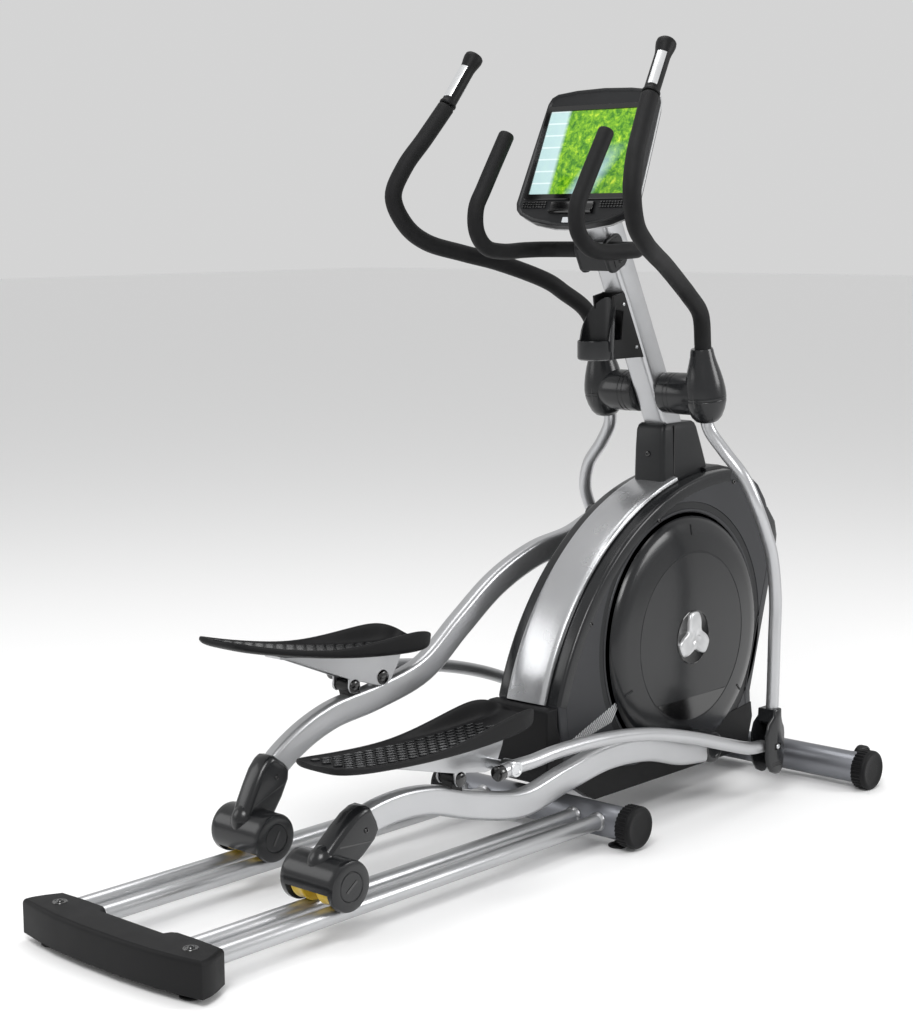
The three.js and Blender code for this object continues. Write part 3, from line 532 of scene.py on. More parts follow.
def arc_sweep(bm, edges, angle, steps):
    """Sweeps a closed section round the Y axis through an angle and closes both ends."""
    bmesh.ops.contextual_create(bm, geom=edges)
    verts = list({vert for edge in edges for vert in edge.verts})
    made = bmesh.ops.spin(bm, geom=[*verts, *edges], cent=(0, 0, 0), axis=(0, 1, 0), dvec=(0, 0, 0),
                          angle=angle, steps=steps, use_merge=False, use_duplicate=False)
    last = [part for part in made["geom_last"] if isinstance(part, bmesh.types.BMEdge)]
    bmesh.ops.contextual_create(bm, geom=last)


def mirrored(sign, points):
    return [(x, sign * y, z) for x, y, z in points]


def span(sign, near, far):
    return (near, far) if sign > 0 else (-far, -near)


def screw(bm, place, radius=6.5):
    """A button-head screw with a round socket, its head along the placement's Z axis."""
    profile = [(0, 1.2), (radius * 0.42, 1.2), (radius * 0.5, 3.0), (radius * 0.8, 2.5), (radius, 0.6),
               (radius, -2), (0, -2)]
    turned(bm, profile, place, 20)


# ---------- linkage placements ----------
def linkage(sign):
    """Placements of an arm and its pedal link at rest."""
    pin_z = HUB[1] + sign * CRANK_RADIUS
    lift = asin((pin_z - ROLLER_Z) / ARM_LENGTH)
    roller_x = HUB[0] - ARM_LENGTH * cos(lift)
    arm = Matrix.Translation((roller_x, 0, ROLLER_Z)) @ Matrix.Rotation(-lift, 4, "Y")
    pivot = arm @ Vector((LINK_PIVOT[0], 0, LINK_PIVOT[1]))
    turn = atan2(SWING_END[1] - pivot.z, SWING_END[0] - pivot.x)
    return arm, Matrix.Translation(pivot) @ Matrix.Rotation(-turn, 4, "Y")


SWING = Matrix.Translation((SWING_PIVOT[0], 0, SWING_PIVOT[1]))


def mast_x(z):
    return SWING_PIVOT[0] - (z - SWING_PIVOT[1]) * MAST_SLOPE


# ---------- base ----------
class TRAINER_OT_rails(bpy.types.Operator):
    """Four straight rails welded to a plate at the rear"""
    bl_idname = "trainer.rails"
    bl_label = "Rails"

    def execute(self, context):
        sizes, colours = context.scene.trainer_sizes, context.scene.trainer_colours
        bm = bmesh.new()
        for _, sign in SIDES:
            for y in RAIL_Y:
                tube(bm, [(34, sign * y, RAIL_Z), (600, sign * y, RAIL_Z),
                          (MID_BAR[0] - 30, sign * y, RAIL_Z)], sizes.rail_radius, TUBE_SEGMENTS, ends=1.0)
                weld = [(sizes.rail_radius + 0.5, -6), (sizes.rail_radius + 3.2, -1),
                        (sizes.rail_radius + 3.6, 3), (sizes.rail_radius - 1, 3), (sizes.rail_radius - 1, -6),
                        (sizes.rail_radius + 0.5, -6)]
                place = Matrix.Translation((MID_BAR[0] - BAR_RADIUS - 1, sign * y, RAIL_Z))
                turned(bm, weld, place @ Matrix.Rotation(pi / 2, 4, "Y"), 28)
        block(bm, 22, 52, -236, 236, 42, 79)
        settle(bm, "rails", "frame", silver_paint(colours), ["rail_frame"])
        return {"FINISHED"}


class TRAINER_OT_cross_tubes(bpy.types.Operator):
    """The middle and front cross tubes, the wheel forks on the front tube and the ribbed end caps"""
    bl_idname = "trainer.cross_tubes"
    bl_label = "Cross tubes"

    def execute(self, context):
        colours = context.scene.trainer_colours
        for name, (x, z, half) in (("mid_crossbar", MID_BAR), ("front_stabiliser", FRONT_BAR)):
            bm = bmesh.new()
            tube(bm, [(x, -half, z), (x, 0, z), (x, half, z)], BAR_RADIUS, 48, ends=1.0)
            if name == "front_stabiliser":
                self.wheel_forks(bm)
            settle(bm, f"{name}_tube", "frame", dark_paint(colours), [name])
        for end, (x, z, half) in (("mid", MID_BAR), ("front", FRONT_BAR)):
            for side, sign in SIDES:
                self.cap(colours, f"{end}_cap_{side}", x, z, half, sign)
        return {"FINISHED"}

    def wheel_forks(self, bm):
        x, y, z = TRANSPORT
        for _, sign in SIDES:
            for cheek in (-14.5, 14.5):
                middle = sign * y + cheek
                outline = [(FRONT_BAR[0] + 30, 34), (x + 2, z - 10), (x + 9, z - 5), (x + 9, z + 5),
                           (x + 2, z + 10), (FRONT_BAR[0] + 30, 78)]
                plate(bm, outline, middle - 2.5, middle + 2.5)
            screw(bm, along_y(x, sign * (y + 17), z, sign), 9)

    def cap(self, colours, name, x, z, half, sign):
        """A cap with a ribbed skirt, a smooth rounded rim and a shallow dished end."""
        bm = bmesh.new()
        ribs = 30
        start = half + 0.5

        def loop(depth, outer, inner):
            points = []
            for i in range(ribs * 4):
                radius = outer if i % 4 < 2 else inner
                angle = 2 * pi * (i + 0.5) / (ribs * 4)
                points.append((x + radius * cos(angle), sign * (start + depth), z + radius * sin(angle)))
            return closed_ring(bm, points)

        r = CAP_RADIUS
        stations = [(0, r - 0.6, r - 2.6), (1.2, r, r - 2.2), (25, r, r - 2.2), (26.5, r, r), (31, r, r),
                    (34.5, r - 1.6, r - 1.6), (36.6, r - 4.5, r - 4.5), (37.4, r - 9, r - 9),
                    (36, r - 13, r - 13), (35, r - 30, r - 30)]
        capped_loft(bm, [loop(*station) for station in stations])
        settle(bm, f"{name}_moulding", "frame", cover_black(colours), [name])


class TRAINER_OT_feet(bpy.types.Operator):
    """Levelling feet and transport wheels"""
    bl_idname = "trainer.feet"
    bl_label = "Feet and wheels"

    def execute(self, context):
        colours = context.scene.trainer_colours
        for side, sign in SIDES:
            for name, x, y, radius, top in (("rear_foot", 26, 208, 24, 40),
                                            ("mid_foot", MID_BAR[0], 236, 22, 15)):
                bm = bmesh.new()
                profile = [(0, 0), (radius - 2, 0), (radius, 1.5), (radius, 4), (radius - 2, 5.5),
                           (radius * 0.6, 8), (8, 9), (8, 12), (6, 12.5), (6, top), (0, top)]
                turned(bm, profile, Matrix.Translation((x, sign * y, 0)), 40)
                settle(bm, f"{name}_{side}_pad", "frame", black_plastic(colours),
                       [f"{name}_{side}"])
            bm = bmesh.new()
            x, y, z = TRANSPORT
            tyre = [(7, -11), (15, -11), (16, -8), (21, -8), (22, -11), (25, -11), (27.4, -9), (28, -6),
                    (28, 6), (27.4, 9), (25, 11), (22, 11), (21, 8), (16, 8), (15, 11), (7, 11), (7, -11)]
            turned(bm, tyre, along_y(x, sign * y, z), 48)
            settle(bm, f"transport_wheel_{side}_tyre", f"{side}_transport_wheel", black_plastic(colours),
                   [f"transport_wheel_{side}"])
        return {"FINISHED"}


class TRAINER_OT_rear_cover(bpy.types.Operator):
    """The bowed cover over the rear ends of the rails, with its two recessed screws"""
    bl_idname = "trainer.rear_cover"
    bl_label = "Rear cover"

    def execute(self, context):
        colours = context.scene.trainer_colours
        right_half = [(-24, -60), (-20, -140), (-12, -205), (0, -269), (20, -267), (44, -258), (78, -240),
                      (81, -170), (80, -112), (72, -98), (60, -92)]
        plan = [*right_half, *[(x, -y) for x, y in reversed(right_half)]]
        bm = bmesh.new()

        def loop(inset, z):
            return closed_ring(bm, [(x, y, z) for x, y in offset(plan, -inset)])

        rings = [loop(3, 14), loop(0, 16), loop(0, 76), loop(0.8, 80), loop(3, 84), loop(6, 86),
                 loop(9, 86.2)]
        bridge(bm, rings)
        bmesh.ops.contextual_create(bm, geom=rings[-1])
        underside = [loop(5, 14), loop(5, 70)]
        bridge(bm, [rings[0], *underside])
        bmesh.ops.contextual_create(bm, geom=underside[-1])
        settle(bm, "rear_cover_shell", "frame", cover_black(colours), ["rear_cover"])
        bm = bmesh.new()
        screw_x, screw_y = REAR_COVER_SCREW
        for _, sign in SIDES:
            cup = [(0, 86.6), (11, 86.6), (12, 87.4), (14.5, 87.4), (15.5, 86.2), (15.5, 84), (0, 84)]
            turned(bm, cup, Matrix.Translation((screw_x, sign * screw_y, 0)), 32)
            screw(bm, Matrix.Translation((screw_x, sign * screw_y, 86.8)), 8)
        settle(bm, "rear_cover_screws", "frame", gloss_black(colours))
        return {"FINISHED"}


# ---------- mast, console, fixed handles ----------
class TRAINER_OT_mast(bpy.types.Operator):
    """The leaning mast with its swing axle"""
    bl_idname = "trainer.mast"
    bl_label = "Mast"

    def execute(self, context):
        colours = context.scene.trainer_colours
        bm = bmesh.new()
        points = [(1878, 0, 92), (mast_x(870) + 3, 0, 850), (mast_x(905), 0, 905), (mast_x(1200), 0, 1200),
                  (mast_x(1478), 0, 1478)]
        path = [Vector(p) for p in points]
        places = flat_placements(path)
        sweep(bm, rounded_bar_section(bm, 66, 70, 12, places[0]), places)
        turned(bm, [(0, -SWING_Y), (16, -SWING_Y), (16, SWING_Y), (0, SWING_Y)],
               along_y(SWING_PIVOT[0], 0, SWING_PIVOT[1]), 32)
        settle(bm, "mast_tube", "frame", silver_paint(colours), ["mast"])
        bm = bmesh.new()
        for _, sign in SIDES:
            flange = [(17, 0), (42, 0), (44, -1.5), (44, -6), (36, -8), (17, -8), (17, 0)]
            turned(bm, flange, along_y(SWING_PIVOT[0], sign * 35, SWING_PIVOT[1], -sign), 48)
        settle(bm, "mast_flanges", "frame", gloss_charcoal(colours))
        return {"FINISHED"}


class TRAINER_OT_handlebar(bpy.types.Operator):
    """The clamped crossbar and the two fixed foam handles"""
    bl_idname = "trainer.handlebar"
    bl_label = "Fixed handlebar"

    def execute(self, context):
        sizes, colours = context.scene.trainer_sizes, context.scene.trainer_colours
        x, z = HANDLEBAR
        bm = bmesh.new()
        tube(bm, [(x, -60, z), (x, 0, z), (x, 60, z)], 16, TUBE_SEGMENTS, ends=0.5)
        settle(bm, "handlebar_crossbar_tube", "frame", turned_steel(colours), ["handlebar_crossbar"])
        bm = bmesh.new()
        outline = [(-56, -24), (-50, -36), (-36, -42), (2, -42), (14, -36), (18, -24), (18, 24), (12, 36),
                   (-2, 42), (-36, 42), (-50, 36), (-56, 22)]
        place = Matrix.Translation((mast_x(z) - 22, 0, z)) @ Matrix.Rotation(-CLAMP_LEAN, 4, "Y")
        for y0, y1 in ((-46, -34.5), (34.5, 46)):
            plate(bm, outline, y0, y1)
        block(bm, -55, -14, -40, 40, -30, 30)
        settle(bm, "handlebar_clamp_block", "frame", charcoal_plastic(colours),
               ["handlebar_clamp"], local=place, edge=5)
        bm = bmesh.new()
        badge = [(-34, -30), (-6, -34), (10, -28), (12, 20), (2, 32), (-26, 34), (-36, 22)]
        plate(bm, badge, -47.6, -45)
        plate(bm, badge, 45, 47.6)
        for _, sign in SIDES:
            screw(bm, along_y(-14, sign * 47.6, -22, sign), 5)
            screw(bm, along_y(-14, sign * 47.6, 20, sign), 5)
        settle(bm, "handlebar_clamp_plates", "frame", gloss_charcoal(colours),
               local=place, edge=1.2)
        path = [(1461, 40, 1330), (1461, 84, 1330), (1456, 112, 1330), (1432, 142, 1330), (1385, 153, 1329),
                (1310, 153, 1327), (1250, 151, 1338), (1215, 148, 1375), (1213, 147, 1425), (1240, 146, 1472),
                (1319, 145, 1594)]
        for side, sign in SIDES:
            bm = bmesh.new()
            tube(bm, smooth_path(mirrored(sign, path), 7), sizes.fixed_grip_radius, TUBE_SEGMENTS, ends=6)
            settle(bm, f"fixed_grip_{side}_foam", "frame", grip_foam(colours),
                   [f"fixed_grip_{side}"])
        return {"FINISHED"}


class TRAINER_OT_bottle_holder(bpy.types.Operator):
    """A cup with a curved back wall, and the bracket that carries it"""
    bl_idname = "trainer.bottle_holder"
    bl_label = "Bottle holder"

    def execute(self, context):
        colours = context.scene.trainer_colours
        x, radius, bottom = BOTTLE
        bm = bmesh.new()
        inner = radius - 3.5
        cup = [(0, 0), (radius - 6, 0), (radius - 1, 3), (radius, 8), (radius, 44), (radius - 1.7, 46),
               (inner, 44), (inner, 8), (inner - 4, 5), (0, 5)]
        turned(bm, cup, Matrix.Translation((x, 0, bottom)), 48)
        walls = []
        for step in range(25):
            angle = radians(-96 + 8 * step)
            top = bottom + 46 + 98 * max(0.0, cos(angle * 0.94)) ** 0.7
            section = [(inner, bottom + 20), (radius + 0.6, bottom + 20), (radius + 3, top - 2),
                       (radius + 1, top), (inner + 2, top - 1)]
            walls.append(closed_ring(bm, [(x + r * cos(angle), r * sin(angle), z) for r, z in section]))
        capped_loft(bm, walls)
        settle(bm, "bottle_cup", "frame", gloss_charcoal(colours), ["bottle_holder"])
        bm = bmesh.new()
        top = bottom + 156
        cheek = [(x + 30, bottom + 1), (mast_x(bottom) - 37, bottom + 1), (mast_x(top) - 37, top),
                 (x + 26, top - 8), (x + 30, top - 38), (mast_x(top - 44) - 62, top - 44),
                 (x + 58, bottom + 46), (x + 32, bottom + 46)]
        for y0, y1 in ((-31, -26), (26, 31)):
            plate(bm, cheek, y0, y1)
        back = [(mast_x(bottom) - 46, bottom), (mast_x(bottom) - 38, bottom), (mast_x(top) - 38, top),
                (mast_x(top) - 46, top)]
        plate(bm, back, -30, 30)
        settle(bm, "bottle_bracket", "frame", black_plastic(colours), edge=1.5)
        bm = bmesh.new()
        for _, sign in SIDES:
            for lift in (26, 128):
                screw(bm, along_y(mast_x(bottom + lift) - 54, sign * 31, bottom + lift, sign), 4.5)
        settle(bm, "bottle_bracket_screws", "frame", turned_steel(colours))
        return {"FINISHED"}


class TRAINER_OT_console(bpy.types.Operator):
    """The console: hooded housing, bezel, lit display, speaker slots and tray"""
    bl_idname = "trainer.console"
    bl_label = "Console"

    def execute(self, context):
        colours = context.scene.trainer_colours
        place = Matrix.Translation((CONSOLE[0], 0, CONSOLE[1])) @ Matrix.Rotation(CONSOLE_TILT, 4, "Y")
        half = [(0, -180), (50, -178), (110, -168), (150, -152), (164, -140), (170, -124), (167, -60),
                (162, 40), (157, 128), (150, 144), (134, 153), (80, 160), (0, 163)]
        face = [*half, *[(-y, z) for y, z in reversed(half[1:-1])]]
        self.body(colours, place, face)
        self.bezel(colours, place)
        self.display(place)
        self.details(colours, place)
        return {"FINISHED"}

    def body(self, colours, place, face):
        bm = bmesh.new()

        def loop(inset, x):
            return closed_ring(bm, [(x, y, z) for y, z in offset(face, -inset)])

        stations = [(9, 4), (5, 0.8), (2, 0), (0, 2.5), (0, 22), (2, 30), (12, 44), (22, 58), (27, 61),
                    (36, 62)]
        capped_loft(bm, [loop(*station) for station in stations])
        settle(bm, "console_shell", "frame", charcoal_plastic(colours),
               ["console_housing"], local=place)
        bm = bmesh.new()
        seam = [closed_ring(bm, [(x, y, z) for y, z in offset(face, grow)])
                for grow, x in ((0.4, 23), (1.2, 24), (1.2, 27), (0.2, 28), (-2, 28), (-2, 23))]
        bridge(bm, seam, closed=True)
        settle(bm, "console_trim", "frame", bright_silver(colours), local=place)

    def bezel(self, colours, place):
        bm = bmesh.new()

        def loop(half_y, half_z, x, corner):
            points = []
            for cy, cz, start in ((1, 1, 0), (-1, 1, 90), (-1, -1, 180), (1, -1, 270)):
                for step in range(5):
                    angle = radians(start + 22.5 * step)
                    points.append((x, cy * (half_y - corner) + corner * cos(angle),
                                   3 + cz * (half_z - corner) + corner * sin(angle)))
            return closed_ring(bm, points)

        rings = [loop(152, 118, 5, 8), loop(152, 118, -0.6, 8), loop(150.6, 116.6, -1.8, 7),
                 loop(139, 105, -1.8, 2), loop(138, 104, 1.2, 2), loop(138, 104, 5, 2)]
        bridge(bm, rings, closed=True)
        settle(bm, "console_bezel", "frame", gloss_black(colours), local=place)

    def display(self, place):
        bm = bmesh.new()
        made = bmesh.ops.create_grid(bm, x_segments=2, y_segments=2, size=0.5)
        layer = bm.loops.layers.uv.new("screen")
        for face in bm.faces:
            for corner in face.loops:
                corner[layer].uv = (corner.vert.co.x + 0.5, corner.vert.co.y + 0.5)
        bmesh.ops.transform(bm, matrix=Matrix(((0, 0, -1, 0.6), (-DISPLAY[0], 0, 0, 0), (0, DISPLAY[1], 0, 3),
                                               (0, 0, 0, 1))), verts=made["verts"])
        for part in bmesh.ops.extrude_face_region(bm, geom=list(bm.faces))["geom"]:
            if isinstance(part, bmesh.types.BMVert):
                part.co.x += 4
        settle(bm, "console_display", "frame", display_picture(), ["console_screen"],
               local=place)

    def details(self, colours, place):
        bm = bmesh.new()
        for _, sign in SIDES:
            for row in range(3):
                for column in range(9):
                    y = sign * (82 + column * 8.2)
                    z = -121 - row * 6
                    block(bm, -1.2, 3, y - 2.6, y + 2.6, z - 1.7, z + 1.7)
        tray = [(-3, -121), (4, -121), (4, -149), (-3, -149), (-7, -146), (-7, -142), (-2, -140), (-2, -127)]
        plate(bm, tray, -62, 62)
        settle(bm, "console_speakers", "frame", gloss_black(colours), local=place, edge=0.8)
        bm = bmesh.new()
        block(bm, -1.2, 3, -17, 17, -172, -159)
        settle(bm, "console_plate", "frame", pale_label(colours), local=place, edge=0.8)


# ---------- housing ----------
def side_outline():
    corners = [(1962, 768), (2008, 736), (2040, 696), (2062, 650), (2076, 600), (2082, 560), (2076, 516),
               (1984, 206), (1990, 141), (1966, 64), (1349, 61), (1256, 118), (1236, 150)]
    return [*arc_points(ARC, ARC_SIDE, 163.2, 88, 40), *corners]


def ray_hit(outline, angle):
    """Where a ray from the hub at an angle meets an outline."""
    direction = Vector((cos(angle), sin(angle)))
    best = None
    for a, b in zip(outline, [*outline[1:], outline[0]]):
        start = Vector(a) - Vector(HUB)
        along = Vector(b) - Vector(a)
        cross = direction.x * along.y - direction.y * along.x
        if abs(cross) < 1e-9:
            continue
        reach = (start.x * along.y - start.y * along.x) / cross
        share = (start.x * direction.y - start.y * direction.x) / cross
        if reach > 0 and -1e-6 <= share <= 1 + 1e-6 and (best is None or reach > best):
            best = reach
    return HUB[0] + direction.x * best, HUB[1] + direction.y * best


class TRAINER_OT_side_covers(bpy.types.Operator):
    """The two graphite side covers with their stepped ring round the disc"""
    bl_idname = "trainer.side_covers"
    bl_label = "Side covers"

    def execute(self, context):
        sizes, colours = context.scene.trainer_sizes, context.scene.trainer_colours
        outline = side_outline()
        corner_angles = [atan2(z - HUB[1], x - HUB[0]) for x, z in outline]
        angles = sorted({round(a, 4) for a in [*corner_angles, *[radians(4 * i - 180) for i in range(90)]]})
        for side, sign in SIDES:
            self.shell(colours, side, sign, outline, angles, sizes.disc_radius)
            self.trim(colours, side, sign, sizes.disc_radius)
        return {"FINISHED"}

    def shell(self, colours, side, sign, outline, angles, disc):
        bm = bmesh.new()

        def rim(inset, y):
            moved = offset(outline, -inset)
            return closed_ring(bm, [(x, sign * y, z) for x, z in (ray_hit(moved, a) for a in angles)])

        def circle(radius, y):
            return closed_ring(bm, [(HUB[0] + radius * cos(a), sign * y, HUB[1] + radius * sin(a))
                                    for a in angles])

        rings = [rim(0, 58), rim(0, 84), rim(0.8, 88), rim(3, 91), rim(6.5, SIDE_FACE), rim(24, SIDE_FACE),
                 rim(25.5, 90.4), rim(27, SIDE_FACE), circle(disc + 34, SIDE_FACE), circle(disc + 33, 90),
                 circle(disc + 17, 90), circle(disc + 16, SIDE_FACE), circle(disc + 11, SIDE_FACE),
                 circle(disc + 8, 90), circle(disc + 8, 66), circle(disc + 11.5, 66), circle(disc + 11.5, 87),
                 rim(5, 87), rim(4, 58)]
        bridge(bm, rings, closed=True)
        settle(bm, f"side_cover_{side}_shell", "frame", graphite_plastic(colours),
               [f"side_cover_{side}"], sharp=30)

    def trim(self, colours, side, sign, disc):
        bm = bmesh.new()
        profile = [(678.9, 58), (678.9, 84), (678, 88.8), (675.4, 92), (671.7, 93.2), (650, 93.2),
                   (648.6, 91.6), (648.6, 90), (672, 90), (675, 84), (675, 58)]
        start = radians(ARC_JOINT)
        edges = closed_ring(bm, [(r * cos(start), sign * y, r * sin(start)) for r, y in profile])
        arc_sweep(bm, edges, radians(ARC_JOINT - 88.5), 64)
        settle(bm, f"side_cover_{side}_band", "frame", gloss_charcoal(colours),
               local=Matrix.Translation((ARC[0], 0, ARC[1])))
        bm = bmesh.new()
        groove = [(disc + 17.5, 89), (disc + 17.5, 90.8), (disc + 32.5, 90.8), (disc + 32.5, 89),
                  (disc + 17.5, 89)]
        turned(bm, groove, along_y(HUB[0], 0, HUB[1], sign), 128)
        settle(bm, f"side_cover_{side}_ring", "frame", charcoal_plastic(colours))
        bm = bmesh.new()
        for x, z in ((1334, 478), (1592, 690), (1898, 752)):
            screw(bm, along_y(x, sign * SIDE_FACE, z, sign), 6)
        settle(bm, f"side_cover_{side}_screws", "frame", gloss_black(colours))
        bm = bmesh.new()
        lines = 17
        for i in range(lines):
            share = i / (lines - 1)
            x = 1256 + 150 * share
            low, high = 204 + 28 * share, 222 + 62 * share
            lean = (high - low) * 0.75
            plate(bm, [(x, low), (x + 3.6, low), (x + 3.6 + lean, high), (x + lean, high)],
                  *span(sign, SIDE_FACE - 1, SIDE_FACE + 0.9))
        settle(bm, f"side_cover_{side}_ribs", "frame", bright_silver(colours), edge=0.4)


class TRAINER_OT_covers(bpy.types.Operator):
    """The silver arc cover, the nose, the base covers and the neck round the mast"""
    bl_idname = "trainer.covers"
    bl_label = "Centre covers"

    def execute(self, context):
        colours = context.scene.trainer_colours
        self.arc(colours)
        self.nose(colours)
        self.base(colours)
        self.neck(colours)
        return {"FINISHED"}

    def arc(self, colours):
        """A crowned band swept round the arc's centre, with a lip down each side."""
        bm = bmesh.new()
        low = asin((306 - ARC[1]) / ARC_BAND)
        start = pi - low
        stop = radians(103)
        crown = [(ARC_SIDE - 4, 56.6), (ARC_BAND - 9, 56.6), (ARC_BAND - 4.5, 55), (ARC_BAND - 2, 50),
                 (ARC_BAND - 0.8, 42), (ARC_BAND, 20)]
        profile = [*crown, *[(r, -y) for r, y in reversed(crown)]]
        arc_sweep(bm, closed_ring(bm, [(r * cos(start), y, r * sin(start)) for r, y in profile]),
                  start - stop, 56)
        settle(bm, "rear_arc_cover_band", "frame", silver_band(colours), ["rear_arc_cover"],
               local=Matrix.Translation((ARC[0], 0, ARC[1])), sharp=40)
        bm = bmesh.new()
        for _, sign in SIDES:
            rim = [(ARC[0] + r * cos(a), ARC[1] + r * sin(a))
                   for r, order in ((ARC_SIDE + 4.5, 1), (ARC_SIDE - 8, -1))
                   for a in [start + (stop - start) * i / 48 for i in range(49)][::order]]
            plate(bm, rim, *span(sign, 56.7, 58.2))
        settle(bm, "housing_seams", "frame", gloss_black(colours))

    def nose(self, colours):
        bm = bmesh.new()
        edge = offset(side_outline(), 9)
        front = [p for p in edge if p[0] > 1812 and p[1] > 112]
        rings = []
        for y, inset in ((-57, 5), (-55, 2), (-48, 0), (48, 0), (55, 2), (57, 5)):
            rings.append(closed_ring(bm, [(x, y, z) for x, z in offset(front, -inset)]))
        capped_loft(bm, rings)
        settle(bm, "front_cover_shell", "frame", charcoal_plastic(colours),
               ["front_cover"])
        bm = bmesh.new()
        nose = [(2040, 700), (2092, 668), (2126, 628), (2136, 590), (2132, 556), (2104, 486), (2078, 430),
                (2040, 430)]
        rings = []
        for y, inset in ((-70, 14), (-66, 4), (-58, 0), (58, 0), (66, 4), (70, 14)):
            rings.append(closed_ring(bm, [(x, y, z) for x, z in offset(nose, -inset)]))
        capped_loft(bm, rings)
        settle(bm, "front_cover_nose", "frame", gloss_charcoal(colours), edge=1.5)

    def base(self, colours):
        bm = bmesh.new()
        profile = [(1186, 302), (1178, 298), (1176, 288), (1176, 166), (1182, 150), (1202, 122), (1214, 114),
                   (1232, 112), (1232, 150), (1236, 200), (1214, 260), (1214, 302)]
        plate(bm, profile, -SIDE_FACE, SIDE_FACE)
        settle(bm, "base_cover_shell", "frame", cover_black(colours), ["base_cover"], edge=4)
        bm = bmesh.new()
        lower = [(1236, 150), (1256, 118), (1349, 61), (1966, 61), (1990, 141), (1984, 178), (1900, 168),
                 (1700, 120), (1500, 110), (1330, 140)]
        for _, sign in SIDES:
            plate(bm, offset(lower, 1.0), *span(sign, 84, SIDE_FACE + 1.4))
            screw(bm, along_y(1222, sign * SIDE_FACE, 196, sign), 7)
        settle(bm, "base_skirt", "frame", cover_black(colours), edge=1.2)

    def neck(self, colours):
        bm = bmesh.new()

        def loop(z, x0, x1, half, corner):
            points = []
            for cx, cy, angle0 in ((1, 1, 0), (-1, 1, 90), (-1, -1, 180), (1, -1, 270)):
                for step in range(5):
                    angle = radians(angle0 + 22.5 * step)
                    middle = (x0 + x1) / 2 + cx * ((x1 - x0) / 2 - corner)
                    points.append((middle + corner * cos(angle), cy * (half - corner) + corner * sin(angle),
                                   z))
            return closed_ring(bm, points)

        stations = [(758, 1668, 1862, 46, 12), (800, 1668, 1852, 45, 12), (850, 1669, 1832, 44, 12),
                    (893, 1672, 1814, 43, 12), (904, 1676, 1808, 41, 12), (909, 1684, 1800, 37, 10)]
        capped_loft(bm, [loop(*station) for station in stations])
        settle(bm, "neck_cover_shell", "frame", charcoal_plastic(colours), ["neck_cover"])
        bm = bmesh.new()
        rear = Matrix.Rotation(-pi / 2, 4, "Y")
        screw(bm, Matrix.Translation((1668, 0, 836)) @ rear, 7)
        for _, sign in SIDES:
            plate(bm, [(1712, 770), (1714.5, 770), (1714.5, 904), (1712, 904)], *span(sign, 43, 45.8))
        settle(bm, "neck_cover_screws", "frame", gloss_black(colours))


# ---------- crank ----------
class TRAINER_OT_crank(bpy.types.Operator):
    """The two dished discs with their three-lobed hub caps, on the crank"""
    bl_idname = "trainer.crank"
    bl_label = "Crank discs"

    def execute(self, context):
        sizes, colours = context.scene.trainer_sizes, context.scene.trainer_colours
        for side, sign in SIDES:
            out = along_y(HUB[0], 0, HUB[1], sign)
            self.disc(colours, side, out, sizes.disc_radius)
            self.lower_panel(colours, side, sign)
            self.hub_cap(colours, side, out)
        refinish("crank_axle", turned_steel(colours))
        return {"FINISHED"}

    def disc(self, colours, side, out, radius):
        bm = bmesh.new()
        profile = [(0, 122.4), (44, 122.2), (46, 123.8), (120, 123.4), (205, 120.8), (206, 119.6),
                   (208.4, 119.4), (209.4, 120.4), (250, 116.8), (275, 112.4), (285, 107), (290, 100),
                   (radius, 95), (radius - 3, 94), (270, 106), (200, 113), (0, 115)]
        turned(bm, profile, out, 160)
        settle(bm, f"crank_disc_{side}_dish", "crank", gloss_charcoal(colours),
               [f"crank_disc_{side}"], sharp=30)
        bm = bmesh.new()
        for turn in DISC_MARKS:
            mark = out @ Matrix.Rotation(radians(turn), 4, "Z")
            made = bmesh.ops.create_cube(bm, size=1)["verts"]
            bmesh.ops.transform(bm, verts=made, matrix=mark @ Matrix.Translation((262, 0, 115.2))
                                @ Matrix.Rotation(radians(10), 4, "Y") @ Matrix.Diagonal((26, 5, 3, 1)))
        settle(bm, f"crank_disc_{side}_marks", "crank", charcoal_plastic(colours),
               edge=1.2)

    def lower_panel(self, colours, side, sign):
        """A glossy segment across the foot of the inner circle."""
        bm = bmesh.new()
        chord = -148
        reach = acos(-chord / 203)
        points = [(HUB[0] + 203 * sin(a), HUB[1] - 203 * cos(a))
                  for a in [reach - 2 * reach * i / 36 for i in range(37)]]
        plate(bm, points, *span(sign, 119.0, 122.6))
        settle(bm, f"crank_disc_{side}_panel", "crank", gloss_black(colours), edge=0.4)

    def hub_cap(self, colours, side, out):
        bm = bmesh.new()
        turned(bm, [(0, 121), (63, 121), (66, 122.8), (66, 124.6), (64.5, 125.4), (61, 124), (0, 123.2)], out,
               64)
        settle(bm, f"hub_recess_{side}", "crank", gloss_black(colours))
        bm = bmesh.new()

        def loop(scale, height):
            points = []
            for i in range(72):
                angle = 2 * pi * i / 72
                lobe = (1 + cos(3 * (angle - pi / 2))) / 2
                radius = scale * min(62, 31 + 36 * lobe ** 1.1)
                points.append((radius * cos(angle), radius * sin(angle), height))
            return closed_ring(bm, points)

        rings = [loop(1.0, 123), loop(1.0, 128), loop(0.96, 130.4), loop(0.86, 131.6), loop(0.4, 132.6),
                 loop(0.3, 130.6), loop(0.16, 129.6)]
        capped_loft(bm, rings)
        settle(bm, f"hub_cap_{side}", "crank", bright_silver(colours), local=out)


